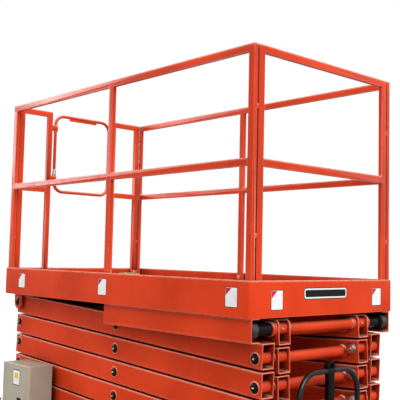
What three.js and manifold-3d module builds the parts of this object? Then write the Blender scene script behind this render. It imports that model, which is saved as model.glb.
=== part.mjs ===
// Mobile scissor lift with a towed chassis, five pairs of scissor arms and a guarded platform.
// Millimetres, +X to the front, +Z up. The origin is on the ground under the middle of the machine.

import * as THREE from 'three';
import { mergeVertices } from 'three/addons/utils/BufferGeometryUtils.js';
import Module from 'manifold-3d';

// ---------------------------------------------------------------- driving dimensions

const seat = 0.3;                  // gap between two parts that are fixed to each other
const running = 5;                 // gap between two parts that move past each other

const deckLength = 2462;
const deckWidth = 1210;
const skirtHeight = 186;
const sheet = 5;
const floorDrop = 100;             // from the skirt's top edge down to the floor sheet
const floorPlate = 4;

const stages = 5;
const basePivotRise = 75;           // lowest pins above the top of the frame
const endPinInset = 55;            // end pins behind the ends of the platform when folded
const raisedAngle = 60;            // arms to the ground, in degrees, with the platform fully up
const armHeight = 130;
const stageGap = 12.3;             // between two folded stages
const armWidth = 90;
const armWall = 6;
const armEnd = 46;                 // arm length past its end pin
const pinOffset = 15.7;            // end pins sit off the arm's centreline
const armSideInset = 105.6;        // outer arms' outer faces inside the platform's edge
const armGap = 29.4;               // between an inner arm and the outer arm beside it
const pinRadius = 22.5;
const pinPlay = 0.35;
const slidePlay = 0.5;
const bushWall = 8.5;
const crossPipeRadius = 30;
const crossPipeInset = 65;
const chamferReach = 55;           // from the end pin to the chamfer on the outermost arm ends

const rollerRadius = 50;
const rollerWidth = 45;
const channelWall = 6;
const channelFlange = 60;
const channelSideInset = 22;
const channelEndInset = 4;
const channelOverrun = 16;         // past the roller's centre with the platform fully up

const barrelEye = 520;             // along the carrying arm from its centre pin
const rodEye = -478;
const rodEyeDrop = 75;
const rodEyePipe = [-400, 20];     // cross pipe that carries the rod eye's ears
const earRadius = 34;
const barrelRadius = 45;
const stemRadius = 25;
const barrelLength = 850;

const railHeight = 1185;           // above the skirt's top edge
const railFace = 40;
const railDepth = 25;
const sideRailInset = 17;
const endRailInset = 8;
const railCornerGap = 12;
const midRailHeight = 568;
const gatewayHalfWidth = 276;

const gateHingeGap = 31;           // gate's hinge tube inside the gateway's edge
const gateLatchGap = 24;
const gateTopGap = 8;              // below the top of the guard rails
const gateTube = 12;
const gateBend = 75;

const frameClearance = 85;         // above the wheels
const frameHeight = 80;
const sleeveSize = 86;
const sleeveWall = 5;
const sleeveInset = 19;            // outermost sleeves behind the ends of the platform
const crossBeamInset = 283;        // from the inner sleeves' middle to the cross beams' middle
const crossBeamWidth = 100;
const innerRailInset = 10;         // outside the inner arms' inner faces
const innerRailWidth = 60;
const lugThickness = 16;
const lugHalfWidth = 50;
const hangerThickness = 6;
const hangerInset = 19;            // rear hanger plate inside the skirt
const hangerSpacing = 300;         // from the rear hanger plate to the front one

const wheelRadius = 160;
const tyreWidth = 90;
const rimRadius = 98;
const spindleRadius = 17.5;
const rearWheelInset = 113;        // wheel's middle inside the frame's side
const casterInset = 153;
const casterTrail = 50;
const casterHeadRadius = 52;
const casterHeadHeight = 30;

const jackOffset = 57;             // jacks outside the frame's side
const jackRadius = 34;
const legRadius = 22;
const padRadius = 75;
const padThickness = 15;
const padHeight = 120;
const crankReach = 70;

const cabinetLength = 346;
const cabinetHeight = 375;
const cabinetDepth = 177;
const cabinetOverlap = 45;         // how far it sits in over the frame's side
const cabinetSleeveGap = 43;
const cabinetWall = 4;
const doorThickness = 18;
const tankHeight = 180;
const motorRadius = 62;
const motorHeight = 150;

const drawbarOffset = 38;          // in front of the sleeves
const drawbarTop = 1040;           // middle of the loop's top tube
const eyeHeight = 1062;            // centre of the towing eye
const drawbarHalfWidth = 245;
const drawbarTube = 15;
const drawbarBend = 130;
const drawbarLoopBottom = 700;
const shaftWidth = 50;
const shaftDepth = 30;
const eyeRadius = 30;
const eyeHole = 19;
const eyeThickness = 32;
const pivotBoss = 24;
const drawbarPin = 11;
const earThickness = 12;

const ladderHalfWidth = 190;
const ladderBottom = 330;
const ladderTop = 1290;
const ladderStile = 40;
const ladderTube = 25;
const rungRadius = 14;
const rungSpacing = 240;

const controlBoxSize = [170, 90, 62];
const controlBoxInset = [115, 160];  // its middle from the corner of the floor plate
const floorPlateGap = 8;

// ---------------------------------------------------------------- worked-out places

const deckFront = deckLength / 2;
const deckSide = deckWidth / 2;
const halfSpan = deckFront - endPinInset;
const pivotSpan = 2 * halfSpan;    // between the rear and front pins when folded
const pitch = armHeight + stageGap;  // rise of one folded stage
const frameUnderside = 2 * wheelRadius + frameClearance;
const frameTop = frameUnderside + frameHeight;
const basePivotHeight = frameTop + basePivotRise;
const topPivotHeight = basePivotHeight + stages * pitch;
const channelHeight = 2 * (rollerRadius + running + channelWall);
const channelOuterY = deckSide - channelSideInset;
const channelInnerY = channelOuterY - channelFlange;
const rollerOuterY = channelOuterY - channelWall - running;
const skirtBottom = topPivotHeight + channelHeight / 2;
const skirtTop = skirtBottom + skirtHeight;
const floorTop = skirtTop - floorDrop;
const underDeck = skirtBottom + 18;
const channelFront = deckFront - channelEndInset;

const halfArm = Math.hypot(halfSpan, pitch / 2);
const rollerRear = -halfSpan + 2 * halfArm * Math.cos(raisedAngle * Math.PI / 180);
const channelRear = rollerRear - channelOverrun;
const armPinX = Math.sqrt(halfArm ** 2 - pinOffset ** 2);
const armSlope = Math.atan2(pitch, pivotSpan) - Math.asin(pinOffset / halfArm);
const armReach = armPinX + armEnd;
const bushRadius = pinRadius + bushWall;
const outerArmY = deckSide - armSideInset - armWidth / 2;
const innerArmY = outerArmY - armWidth - armGap;
const innerArmGap = 2 * innerArmY - armWidth;
const innerArmFace = innerArmY + armWidth / 2;
const outerArmFace = outerArmY + armWidth / 2;

const baseChannelBottom = basePivotHeight - channelHeight / 2;
const sleeveInner = sleeveSize - 2 * sleeveWall;
const sleeveMiddle = frameTop - sleeveSize / 2;
const sleeveReach = deckFront - sleeveInset;
const outerSleeveX = sleeveReach - sleeveSize / 2;
const innerSleeveX = outerSleeveX - sleeveSize;
const crossBeamX = innerSleeveX - crossBeamInset;
const innerRailY = innerArmGap / 2 + innerRailInset;
const rearWheelY = channelOuterY - rearWheelInset;
const casterY = channelOuterY - casterInset;
const jackY = channelOuterY + jackOffset;
const beamSize = sleeveInner - 2 * slidePlay;
const casterPlateBottom = frameUnderside - casterHeadHeight;
const drawbarX = sleeveReach + drawbarOffset;
const drawbarPivotHeight = frameUnderside + frameHeight / 2;
const frontReach = drawbarX + pivotBoss;
const cabinetBottom = baseChannelBottom + channelWall;
const cabinetRear = -innerSleeveX + sleeveSize / 2 + cabinetSleeveGap;
const cabinetInnerY = channelOuterY - cabinetOverlap;
const cabinetOuterY = cabinetInnerY + cabinetDepth;

const railTop = skirtTop + railHeight;
const railBottom = floorTop + seat;
const sideRailY = deckSide - sideRailInset;
const endRailX = deckFront - endRailInset;
const endRailHalfWidth = sideRailY - railDepth - railCornerGap;
const gateHingeY = -gatewayHalfWidth + gateHingeGap;
const gateWidth = 2 * gatewayHalfWidth - gateHingeGap - gateLatchGap;
const gateHeight = railHeight - midRailHeight - gateTopGap;
const floorPlateX = endRailX - railDepth - floorPlateGap;
const floorPlateY = sideRailY - railDepth - floorPlateGap;

// ---------------------------------------------------------------- materials

const paint = (color, roughness, metalness = 0) =>
  new THREE.MeshStandardMaterial({ color, roughness, metalness });
const redPaint = paint(0xd9381a, 0.5);
const blackPaint = paint(0x17171a, 0.5);
const greyPaint = paint(0xb9b4a6, 0.55);
const yellowPaint = paint(0xe5a11c, 0.5);
const rubber = paint(0x202022, 0.9);
const steel = paint(0x9a9c9f, 0.35, 1);
const tread = paint(0x8f9294, 0.45, 0.9);

// ---------------------------------------------------------------- solids

const wasm = await Module();
wasm.setup();

// Turns a closed three.js geometry into a solid that can be joined and cut.
function solid(geometry) {
  geometry.deleteAttribute('normal');
  geometry.deleteAttribute('uv');
  const merged = mergeVertices(geometry, 1e-4);
  const mesh = new wasm.Mesh({
    numProp: 3,
    vertProperties: new Float32Array(merged.attributes.position.array),
    triVerts: new Uint32Array(merged.index.array),
  });
  return new wasm.Manifold(mesh);
}

// A block between two corners.
function block([x0, x1], [y0, y1], [z0, z1]) {
  const geometry = new THREE.BoxGeometry(x1 - x0, y1 - y0, z1 - z0);
  geometry.translate((x0 + x1) / 2, (y0 + y1) / 2, (z0 + z1) / 2);
  return solid(geometry);
}

// A round bar along one axis; the other two coordinates are given in X, Y, Z order.
function bar(axis, radius, [from, to], [a, b], sides = 8, turn = 0) {
  const geometry = new THREE.CylinderGeometry(radius, radius, to - from, sides, 1, false, turn);
  const middle = (from + to) / 2;
  if (axis === 'x') {
    geometry.rotateZ(-Math.PI / 2);
    geometry.translate(middle, a, b);
  } else if (axis === 'y') {
    geometry.translate(a, middle, b);
  } else {
    geometry.rotateX(Math.PI / 2);
    geometry.translate(a, b, middle);
  }
  return solid(geometry);
}

// The hole that a round bar turns in: its flats lie just outside the bar's corners.
function bore(axis, radius, span, at, sides = 8) {
  const half = Math.PI / sides;
  return bar(axis, (radius + pinPlay) / Math.cos(half), span, at, sides, half);
}

function join(solids) {
  return solids.reduce((all, next) => all.add(next));
}

function cut(body, holes) {
  return holes.reduce((left, hole) => left.subtract(hole), body);
}

// A range on one side of the middle plane, whichever side it is.
function across(side, from, to) {
  return side > 0 ? [from, to] : [-to, -from];
}

// A closed loop of round tube in the YZ plane, with four bent corners.
function tubeLoop(x, [y0, y1], [z0, z1], bend, radius, sides = 8) {
  const pieces = [
    bar('y', radius, [y0 + bend - 0.2, y1 - bend + 0.2], [x, z0], sides),
    bar('y', radius, [y0 + bend - 0.2, y1 - bend + 0.2], [x, z1], sides),
    bar('z', radius, [z0 + bend - 0.2, z1 - bend + 0.2], [x, y0], sides),
    bar('z', radius, [z0 + bend - 0.2, z1 - bend + 0.2], [x, y1], sides),
  ];
  for (const [y, alongY] of [[y0 + bend, -1], [y1 - bend, 1]]) {
    for (const [z, alongZ] of [[z0 + bend, -1], [z1 - bend, 1]]) {
      const ring = new THREE.TorusGeometry(bend, radius, sides, 16);
      ring.rotateY(Math.PI / 2);
      ring.translate(x, y, z);
      const reach = bend + 2 * radius;
      const corner = block(
        [x - 2 * radius, x + 2 * radius],
        alongY > 0 ? [y, y + reach] : [y - reach, y],
        alongZ > 0 ? [z, z + reach] : [z - reach, z],
      );
      pieces.push(solid(ring).intersect(corner));
    }
  }
  return join(pieces);
}

// ---------------------------------------------------------------- the scene

const lift = new THREE.Group();

function place(name, body, material, parent = lift) {
  const { vertProperties, triVerts, numProp } = body.getMesh();
  const points = new Float32Array((vertProperties.length / numProp) * 3);
  for (let i = 0; i < points.length / 3; i += 1) {
    points.set(vertProperties.subarray(i * numProp, i * numProp + 3), i * 3);
  }
  const geometry = new THREE.BufferGeometry();
  geometry.setAttribute('position', new THREE.BufferAttribute(points, 3));
  geometry.setIndex(new THREE.BufferAttribute(new Uint32Array(triVerts), 1));
  geometry.computeVertexNormals();
  const mesh = new THREE.Mesh(geometry, material);
  mesh.name = name;
  parent.add(mesh);
  return mesh;
}

// ---------------------------------------------------------------- chassis

const frontAndRear = [-1, 1];
const sides = [['left', -1], ['right', 1]];
const sleeves = frontAndRear.flatMap((end) => [end * innerSleeveX, end * outerSleeveX]);

// An upright lug plate with a rounded end around a pin.
function lug(side, face, x, pinHeight, root) {
  const plate = across(side, face, face + lugThickness);
  const low = Math.min(pinHeight, root);
  const high = Math.max(pinHeight, root);
  return join([
    block([x - lugHalfWidth, x + lugHalfWidth], plate, [low, high]),
    bar('y', lugHalfWidth, plate, [x, pinHeight], 10),
  ]);
}

// A roller track: a channel lying on its side with its mouth to the middle.
function rollerChannel(side, middle) {
  const low = middle - channelHeight / 2;
  const high = middle + channelHeight / 2;
  const length = [channelRear, channelFront];
  const flange = across(side, channelInnerY, channelOuterY);
  return join([
    block(length, across(side, channelOuterY - channelWall, channelOuterY), [low, high]),
    block(length, flange, [low, low + channelWall]),
    block(length, flange, [high - channelWall, high]),
  ]);
}

function chassis() {
  const frame = [frameUnderside, frameTop];
  const steelwork = sleeves.map((x) => block(
    [x - sleeveSize / 2, x + sleeveSize / 2],
    [-channelOuterY, channelOuterY],
    [frameTop - sleeveSize, frameTop],
  ));
  for (const x of [-crossBeamX, 0, crossBeamX]) {
    steelwork.push(block(
      [x - crossBeamWidth / 2, x + crossBeamWidth / 2], [-channelOuterY, channelOuterY], frame));
  }
  for (const side of frontAndRear) {
    const beam = across(side, channelInnerY, channelOuterY);
    steelwork.push(block([-sleeveReach, channelFront], beam, [frameUnderside, baseChannelBottom]));
    const inner = across(side, innerRailY, innerRailY + innerRailWidth);
    steelwork.push(block([-sleeveReach, sleeveReach], inner, frame));
    steelwork.push(rollerChannel(side, basePivotHeight));
    const face = innerArmFace + running;
    steelwork.push(lug(side, face, -halfSpan, basePivotHeight, frameTop - 10));
    const pin = across(side, innerArmGap / 2 - 4, face + lugThickness);
    steelwork.push(bar('y', pinRadius, pin, [-halfSpan, basePivotHeight]));
    steelwork.push(bar('z', casterHeadRadius, [casterPlateBottom, frameUnderside + 1],
      [crossBeamX, side * casterY]));
    const ear = across(side, shaftWidth / 2 + running, shaftWidth / 2 + running + earThickness);
    steelwork.push(block([sleeveReach - 1, drawbarX], ear,
      [drawbarPivotHeight - pivotBoss, drawbarPivotHeight + pivotBoss]));
    steelwork.push(bar('y', pivotBoss, ear, [drawbarX, drawbarPivotHeight]));
  }
  steelwork.push(bar('y', drawbarPin,
    [-shaftWidth / 2 - running - 1, shaftWidth / 2 + running + 1], [drawbarX, drawbarPivotHeight]));
  const bores = sleeves.map((x) => block(
    [x - sleeveInner / 2, x + sleeveInner / 2],
    [-deckWidth, deckWidth],
    [sleeveMiddle - sleeveInner / 2, sleeveMiddle + sleeveInner / 2],
  ));
  return cut(join(steelwork), bores);
}
place('chassis', chassis(), redPaint);

// ---------------------------------------------------------------- wheels

// A body of revolution about Y from half-width and radius pairs on one side of the wheel.
function turned(profile, x, y, z, segments = 14) {
  const outline = [
    ...profile.map(([half, radius]) => new THREE.Vector2(radius, -half)),
    ...profile.toReversed().map(([half, radius]) => new THREE.Vector2(radius, half)),
  ];
  outline.push(outline[0].clone());
  const geometry = new THREE.LatheGeometry(outline, segments);
  geometry.translate(x, y, z);
  return solid(geometry);
}

function wheel(name, x, y) {
  const half = tyreWidth / 2;
  const tyre = turned([
    [half * 0.72, rimRadius + seat],
    [half, rimRadius + 24],
    [half, wheelRadius - 16],
    [half * 0.8, wheelRadius],
  ], x, y, wheelRadius);
  const rim = turned([
    [half * 0.92, (spindleRadius + pinPlay) / Math.cos(Math.PI / 14)],
    [half * 0.3, spindleRadius + 26],
    [half * 0.3, rimRadius - 16],
    [half * 0.66, rimRadius],
  ], x, y, wheelRadius);
  place(`${name}_tyre`, tyre, rubber);
  place(`${name}_rim`, rim, greyPaint);
}

function rearAxle() {
  const beam = 60;
  const stand = 40;
  const reach = rearWheelY - tyreWidth / 2 - 12;
  const parts = [
    block([-crossBeamX - beam / 2, -crossBeamX + beam / 2], [-reach, reach],
      [wheelRadius - beam / 2, wheelRadius + beam / 2]),
    bar('y', spindleRadius, [-rearWheelY - tyreWidth / 2, rearWheelY + tyreWidth / 2],
      [-crossBeamX, wheelRadius]),
  ];
  for (const side of frontAndRear) {
    parts.push(block([-crossBeamX - beam / 2, -crossBeamX + beam / 2],
      across(side, innerRailY + 10, innerRailY + 10 + stand),
      [wheelRadius, frameUnderside - seat]));
  }
  return join(parts);
}
place('rear_axle', rearAxle(), blackPaint);

function casterFork(side) {
  const y = side * casterY;
  const x = crossBeamX - casterTrail;
  const inner = tyreWidth / 2 + 7;
  const leg = 10;
  const crown = [2 * wheelRadius + 10, 2 * wheelRadius + 28];
  const parts = [
    block([x - 40, crossBeamX + casterHeadRadius], [y - inner - leg, y + inner + leg], crown),
    bar('z', casterHeadRadius, [crown[0], casterPlateBottom - seat], [crossBeamX, y], 12),
    bar('y', spindleRadius, [y - inner - 1, y + inner + 1], [x, wheelRadius]),
  ];
  for (const [from, to] of [[y - inner - leg, y - inner], [y + inner, y + inner + leg]]) {
    parts.push(block([x - 40, x + 40], [from, to], [wheelRadius, crown[1]]));
    parts.push(bar('y', 40, [from, to], [x, wheelRadius]));
  }
  return join(parts);
}

for (const [name, side] of sides) {
  place(`${name}_caster_fork`, casterFork(side), blackPaint);
  wheel(`front_${name}`, crossBeamX - casterTrail, side * casterY);
  wheel(`rear_${name}`, -crossBeamX, side * rearWheelY);
}

// ---------------------------------------------------------------- outriggers

// A pull-out beam with a screw jack's housing on its outer end and a crank on top.
function outriggerBeam(side, x) {
  const half = beamSize / 2;
  const low = sleeveMiddle - 110;
  const high = sleeveMiddle + 118;
  const beamTail = channelOuterY - 103;
  const y = side * jackY;
  const body = join([
    block([x - half, x + half], across(side, -beamTail, jackY),
      [sleeveMiddle - half, sleeveMiddle + half]),
    bar('z', jackRadius, [low, high], [x, y]),
    bar('z', 9, [high - 1, high + 34], [x, y], 6),
    bar('x', 9, x > 0 ? [x - 9, x + crankReach] : [x - crankReach, x + 9], [y, high + 34], 6),
  ]);
  return body.subtract(bar('z', legRadius + slidePlay, [low - 1, high - 6], [x, y]));
}

// The jack's leg with its round foot.
function jackLeg(side, x) {
  const y = side * jackY;
  return join([
    bar('z', legRadius, [padHeight + 1, sleeveMiddle + 108], [x, y]),
    bar('z', padRadius, [padHeight, padHeight + padThickness], [x, y], 12),
  ]);
}

for (const [name, side] of sides) {
  const sleeveX = side < 0 ? outerSleeveX : innerSleeveX;
  for (const [end, x] of [['front', sleeveX], ['rear', -sleeveX]]) {
    place(`${end}_${name}_outrigger_beam`, outriggerBeam(side, x), redPaint);
    place(`${end}_${name}_jack_leg`, jackLeg(side, x), steel);
  }
}

// ---------------------------------------------------------------- drawbar and ladder

function drawbar() {
  const y = drawbarHalfWidth;
  const body = join([
    tubeLoop(drawbarX, [-y, y], [drawbarLoopBottom, drawbarTop], drawbarBend, drawbarTube),
    block([drawbarX - shaftDepth / 2, drawbarX + shaftDepth / 2], [-shaftWidth / 2, shaftWidth / 2],
      [drawbarPivotHeight, eyeHeight - eyeRadius * 0.8]),
    bar('y', pivotBoss, [-shaftWidth / 2, shaftWidth / 2], [drawbarX, drawbarPivotHeight]),
    bar('x', eyeRadius, [drawbarX - eyeThickness / 2, drawbarX + eyeThickness / 2],
      [0, eyeHeight], 12),
  ]);
  return cut(body, [
    bar('x', eyeHole, [drawbarX - eyeThickness, drawbarX + eyeThickness], [0, eyeHeight], 12),
    bore('y', drawbarPin, [-shaftWidth, shaftWidth], [drawbarX, drawbarPivotHeight]),
  ]);
}
place('drawbar', drawbar(), blackPaint);

function ladder() {
  const x = -frontReach;
  const parts = [];
  for (const side of frontAndRear) {
    parts.push(block([x, x + ladderStile],
      across(side, ladderHalfWidth - ladderTube / 2, ladderHalfWidth + ladderTube / 2),
      [ladderBottom, ladderTop]));
    parts.push(block([x + 1, -sleeveReach - seat],
      across(side, ladderHalfWidth - ladderTube / 2, ladderHalfWidth + ladderTube / 2),
      [frameUnderside + 10, frameTop - 10]));
  }
  const rungs = Math.floor((ladderTop - ladderBottom - ladderStile) / rungSpacing) + 1;
  for (let i = 0; i < rungs; i += 1) {
    parts.push(bar('y', rungRadius, [-ladderHalfWidth, ladderHalfWidth],
      [x + ladderStile / 2, ladderBottom + ladderStile / 2 + i * rungSpacing]));
  }
  return join(parts);
}
place('rear_ladder', ladder(), redPaint);

// ---------------------------------------------------------------- electric cabinet and hydraulics

const cabinetX = [cabinetRear, cabinetRear + cabinetLength];
const cabinetZ = [cabinetBottom, cabinetBottom + cabinetHeight];
const shrink = ([from, to], by) => [from + by, to - by];

function cabinet() {
  const y = [-cabinetOuterY + doorThickness + seat, -cabinetInnerY];
  const shell = block(cabinetX, y, cabinetZ);
  const inside = block(shrink(cabinetX, cabinetWall), [y[0] - 1, y[1] - cabinetWall],
    shrink(cabinetZ, cabinetWall));
  const plate = block(shrink(cabinetX, 45), [y[1] - 14, y[1] - 1], shrink(cabinetZ, 45));
  const foot = block(shrink(cabinetX, 20), [-channelOuterY + 1, y[1] - 1],
    [baseChannelBottom + seat, cabinetBottom + 1]);
  return join([cut(shell, [inside]), plate, foot]);
}
place('electric_cabinet', cabinet(), greyPaint);

function cabinetDoor() {
  const y = [-cabinetOuterY, -cabinetOuterY + doorThickness];
  const tray = cut(block(cabinetX, y, cabinetZ), [
    block(shrink(cabinetX, 14), [y[0] + 3, y[1] + 1], shrink(cabinetZ, 14)),
  ]);
  return tray;
}
place('cabinet_door', cabinetDoor(), greyPaint);

function hydraulicUnit() {
  const middleY = (cabinetOuterY + cabinetInnerY) / 2;
  const tankTop = cabinetBottom + tankHeight;
  const motorX = cabinetX[0] + motorRadius + 24;
  const blockX = cabinetX[1] - 110;
  return join([
    block(cabinetX, [cabinetInnerY, cabinetOuterY], [cabinetBottom, tankTop]),
    block(shrink(cabinetX, 20), [cabinetInnerY + 1, channelOuterY - 1],
      [baseChannelBottom + seat, cabinetBottom + 1]),
    bar('z', motorRadius + 12, [tankTop - 1, tankTop + 16], [motorX, middleY], 12),
    bar('z', motorRadius, [tankTop, tankTop + motorHeight], [motorX, middleY], 12),
    block([blockX, blockX + 76], [middleY - 40, middleY + 40], [tankTop - 1, tankTop + 90]),
    bar('z', 17, [tankTop, tankTop + 150], [blockX + 38, middleY - 16]),
    bar('z', 24, [tankTop - 1, tankTop + 26], [blockX - 38, middleY + 44]),
  ]);
}
place('hydraulic_unit', hydraulicUnit(), blackPaint);

// ---------------------------------------------------------------- scissor arms

// Arms are drawn level, around their centre pin. Outer arms rise to the rear and inner ones to
// the front. The end pins sit above the centreline at an arm's upper end and below it at the lower.

function armTube(y) {
  const half = armWidth / 2;
  const box = block([-armReach, armReach], [y - half, y + half], [-armHeight / 2, armHeight / 2]);
  const hollow = block([-armReach - 1, armReach + 1], [y - half + armWall, y + half - armWall],
    [-armHeight / 2 + armWall, armHeight / 2 - armWall]);
  return cut(box, [hollow]);
}

// The corner that would swing into the deck or the chassis is cut off at 45 degrees.
function endChamfer(towardX, towardZ) {
  const size = 200;
  const geometry = new THREE.BoxGeometry(size, deckWidth, size);
  geometry.translate(size / 2 + chamferReach, 0, 0);
  geometry.rotateY(-Math.atan2(towardZ, towardX));
  geometry.translate(towardX * armPinX, 0, towardZ * pinOffset);
  return solid(geometry);
}

const pinPlaces = (rise) => [[-armPinX, -rise * pinOffset], [0, 0], [armPinX, rise * pinOffset]];

function outerArm(stage, y) {
  const half = armWidth / 2;
  const parts = [armTube(y)];
  const bores = [];
  for (const at of pinPlaces(-1)) {
    parts.push(bar('y', bushRadius, [y - half + 1, y + half - 1], at));
    bores.push(bore('y', pinRadius, [y - half - 1, y + half + 1], at));
  }
  if (stage === 1) bores.push(endChamfer(1, -1));
  if (stage === stages) bores.push(endChamfer(-1, 1));
  return cut(join(parts), bores);
}

// A flat link plate with round ends between two points of the XZ plane.
function strap([x0, z0], [x1, z1], radius, span) {
  const geometry = new THREE.BoxGeometry(Math.hypot(x1 - x0, z1 - z0), span[1] - span[0], 2 * radius);
  geometry.rotateY(-Math.atan2(z1 - z0, x1 - x0));
  geometry.translate((x0 + x1) / 2, (span[0] + span[1]) / 2, (z0 + z1) / 2);
  return join([
    solid(geometry), bar('y', radius, span, [x0, z0], 12), bar('y', radius, span, [x1, z1], 12),
  ]);
}

function innerFrame(stage) {
  const parts = [];
  const cuts = [];
  const [rearPin, , frontPin] = pinPlaces(1);
  const half = armWidth / 2;
  for (const side of frontAndRear) {
    const y = side * innerArmY;
    parts.push(armTube(y));
    for (const at of pinPlaces(1)) {
      const open = (stage === 1 && at[0] === rearPin[0])
        || (stage === stages && at[0] === frontPin[0]);
      parts.push(bar('y', bushRadius, [y - half + 1, y + half - 1], at));
      if (open) {
        cuts.push(bore('y', pinRadius, [y - half - 1, y + half + 1], at));
      } else {
        parts.push(bar('y', pinRadius, across(side, innerArmFace - 1, outerArmFace + 3), at));
      }
    }
  }
  const pipeEnd = innerArmGap / 2 + 1;
  const pipes = [[-armPinX + crossPipeInset, 0], [armPinX - crossPipeInset, 0]];
  if (stage % 2 === 1 && stage < stages) pipes.push([barrelEye, 0]);
  if (stage % 2 === 0) {
    pipes.push(rodEyePipe);
    for (const side of frontAndRear) {
      const ear = across(side, stemRadius + 8, stemRadius + 24);
      parts.push(strap(rodEyePipe, [rodEye, -rodEyeDrop], earRadius, ear));
    }
  }
  for (const at of pipes) parts.push(bar('y', crossPipeRadius, [-pipeEnd, pipeEnd], at));
  if (stage === 1) cuts.push(endChamfer(-1, -1));
  if (stage === stages) cuts.push(endChamfer(1, 1));
  return cut(join(parts), cuts);
}

function level(stage) {
  return basePivotHeight + (stage - 0.5) * pitch;
}

for (let stage = 1; stage <= stages; stage += 1) {
  const inner = new THREE.Group();
  inner.position.z = level(stage);
  inner.rotation.y = -armSlope;
  place(`inner_frame_${stage}`, innerFrame(stage), redPaint, inner);
  const outer = new THREE.Group();
  outer.position.z = level(stage);
  outer.rotation.y = armSlope;
  for (const [name, side] of sides) {
    place(`${name}_outer_arm_${stage}`, outerArm(stage, side * outerArmY), redPaint, outer);
  }
  lift.add(inner, outer);
}

// A through axle that carries a roller in the track on each side.
function rollerAxle(height) {
  const inner = rollerOuterY - rollerWidth;
  const parts = [bar('y', pinRadius, [-rollerOuterY, rollerOuterY], [halfSpan, height])];
  for (const side of frontAndRear) {
    parts.push(bar('y', rollerRadius, across(side, inner, rollerOuterY), [halfSpan, height], 14));
  }
  return join(parts);
}
place('base_roller_axle', rollerAxle(basePivotHeight), blackPaint);
place('top_roller_axle', rollerAxle(topPivotHeight), blackPaint);

// ---------------------------------------------------------------- lift cylinders

// Where a point of an inner arm lies when the stack is folded.
function onInnerArm(stage, x, z) {
  return [
    x * Math.cos(armSlope) - z * Math.sin(armSlope),
    level(stage) + x * Math.sin(armSlope) + z * Math.cos(armSlope),
  ];
}

for (const [name, stage] of [['lower', 1], ['upper', 3]]) {
  const [x0, z0] = onInnerArm(stage, barrelEye, 0);
  const [x1, z1] = onInnerArm(stage + 1, rodEye, -rodEyeDrop);
  const reach = Math.hypot(x1 - x0, z1 - z0);
  const cylinder = new THREE.Group();
  cylinder.position.set(x0, 0, z0);
  cylinder.rotation.y = -Math.atan2(z1 - z0, x1 - x0);
  const eyeWidth = [-barrelRadius, barrelRadius];
  const barrel = join([
    bar('x', barrelRadius, [crossPipeRadius + 16, barrelLength], [0, 0], 12),
    bar('x', barrelRadius + 6, [barrelLength - 60, barrelLength], [0, 0], 12),
    bar('y', crossPipeRadius + 24, eyeWidth, [0, 0], 12),
  ]);
  place(`${name}_cylinder_barrel`, cut(barrel, [
    bore('y', crossPipeRadius, [-2 * barrelRadius, 2 * barrelRadius], [0, 0], 12),
    bar('x', stemRadius + slidePlay, [crossPipeRadius + 60, barrelLength + 1], [0, 0]),
  ]), blackPaint, cylinder);
  const eye = [-stemRadius, stemRadius];
  place(`${name}_cylinder_rod`, join([
    bar('x', stemRadius, [crossPipeRadius + 380, reach], [0, 0]),
    bar('y', earRadius, eye, [reach, 0]),
  ]), steel, cylinder);
  lift.add(cylinder);
}

// ---------------------------------------------------------------- deck

// Two upright plates hang below the floor between the arms, and step up over the inner arms.
function hangers() {
  const rear = -deckFront + hangerInset;
  const clear = outerArmY - armWidth / 2 - 2 * running;
  const low = skirtBottom - channelHeight + 15;
  const plate = (x, y, z) => block([x - hangerThickness / 2, x + hangerThickness / 2], [-y, y],
    [z, floorTop - 1]);
  return [
    plate(rear, clear, low),
    plate(rear + hangerSpacing, clear, low + 10),
    plate(rear + hangerSpacing, innerArmGap / 2 - running - 2, low - 30),
  ];
}

function deck() {
  const outside = block([-deckFront, deckFront], [-deckSide, deckSide], [skirtBottom, skirtTop]);
  const inside = block([-deckFront + sheet, deckFront - sheet], [-deckSide + sheet, deckSide - sheet],
    [skirtBottom - 1, skirtTop + 1]);
  const floor = block([-deckFront + 1, deckFront - 1], [-deckSide + 1, deckSide - 1],
    [floorTop - sheet, floorTop]);
  const parts = [cut(outside, [inside]), floor];
  for (const x of [-halfSpan, -halfSpan / 2, 0, halfSpan / 2, halfSpan]) {
    parts.push(block([x - 30, x + 30], [-deckSide + 1, deckSide - 1], [underDeck, floorTop - 1]));
  }
  for (const side of frontAndRear) {
    parts.push(block([-deckFront + 1, deckFront - 1], across(side, channelInnerY, channelOuterY),
      [skirtBottom, floorTop - 1]));
    parts.push(rollerChannel(side, topPivotHeight));
    const face = outerArmFace + 2 * running;
    parts.push(lug(side, face, -halfSpan, topPivotHeight, underDeck + 20));
    const pin = across(side, outerArmY - armWidth / 2 - 4, face + 1);
    parts.push(bar('y', pinRadius, pin, [-halfSpan, topPivotHeight]));
  }
  return join([...parts, ...hangers()]);
}
place('deck', deck(), redPaint);

const [boxLength, boxWidth, boxHeight] = controlBoxSize;
const boxX = -floorPlateX + controlBoxInset[0];
const boxY = floorPlateY - controlBoxInset[1];
const boxAlong = [boxX - boxLength / 2, boxX + boxLength / 2];
const boxAcross = [boxY - boxWidth / 2, boxY + boxWidth / 2];

// The chequered plate is cut away round the foot of the control box.
function floorSheet() {
  const top = floorTop + seat + floorPlate;
  const whole = block([-floorPlateX, floorPlateX], [-floorPlateY, floorPlateY],
    [floorTop + seat, top]);
  return cut(whole, [
    block([boxAlong[0] - running, boxAlong[1] + running],
      [boxAcross[0] - running, boxAcross[1] + running], [floorTop - 1, top + 1]),
  ]);
}
place('floor_plate', floorSheet(), tread);

// ---------------------------------------------------------------- guard rails

const rails = (low, high) => [
  [high - railFace, high],
  [skirtTop + midRailHeight, skirtTop + midRailHeight + railFace],
  [low, low + railFace],
];

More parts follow.
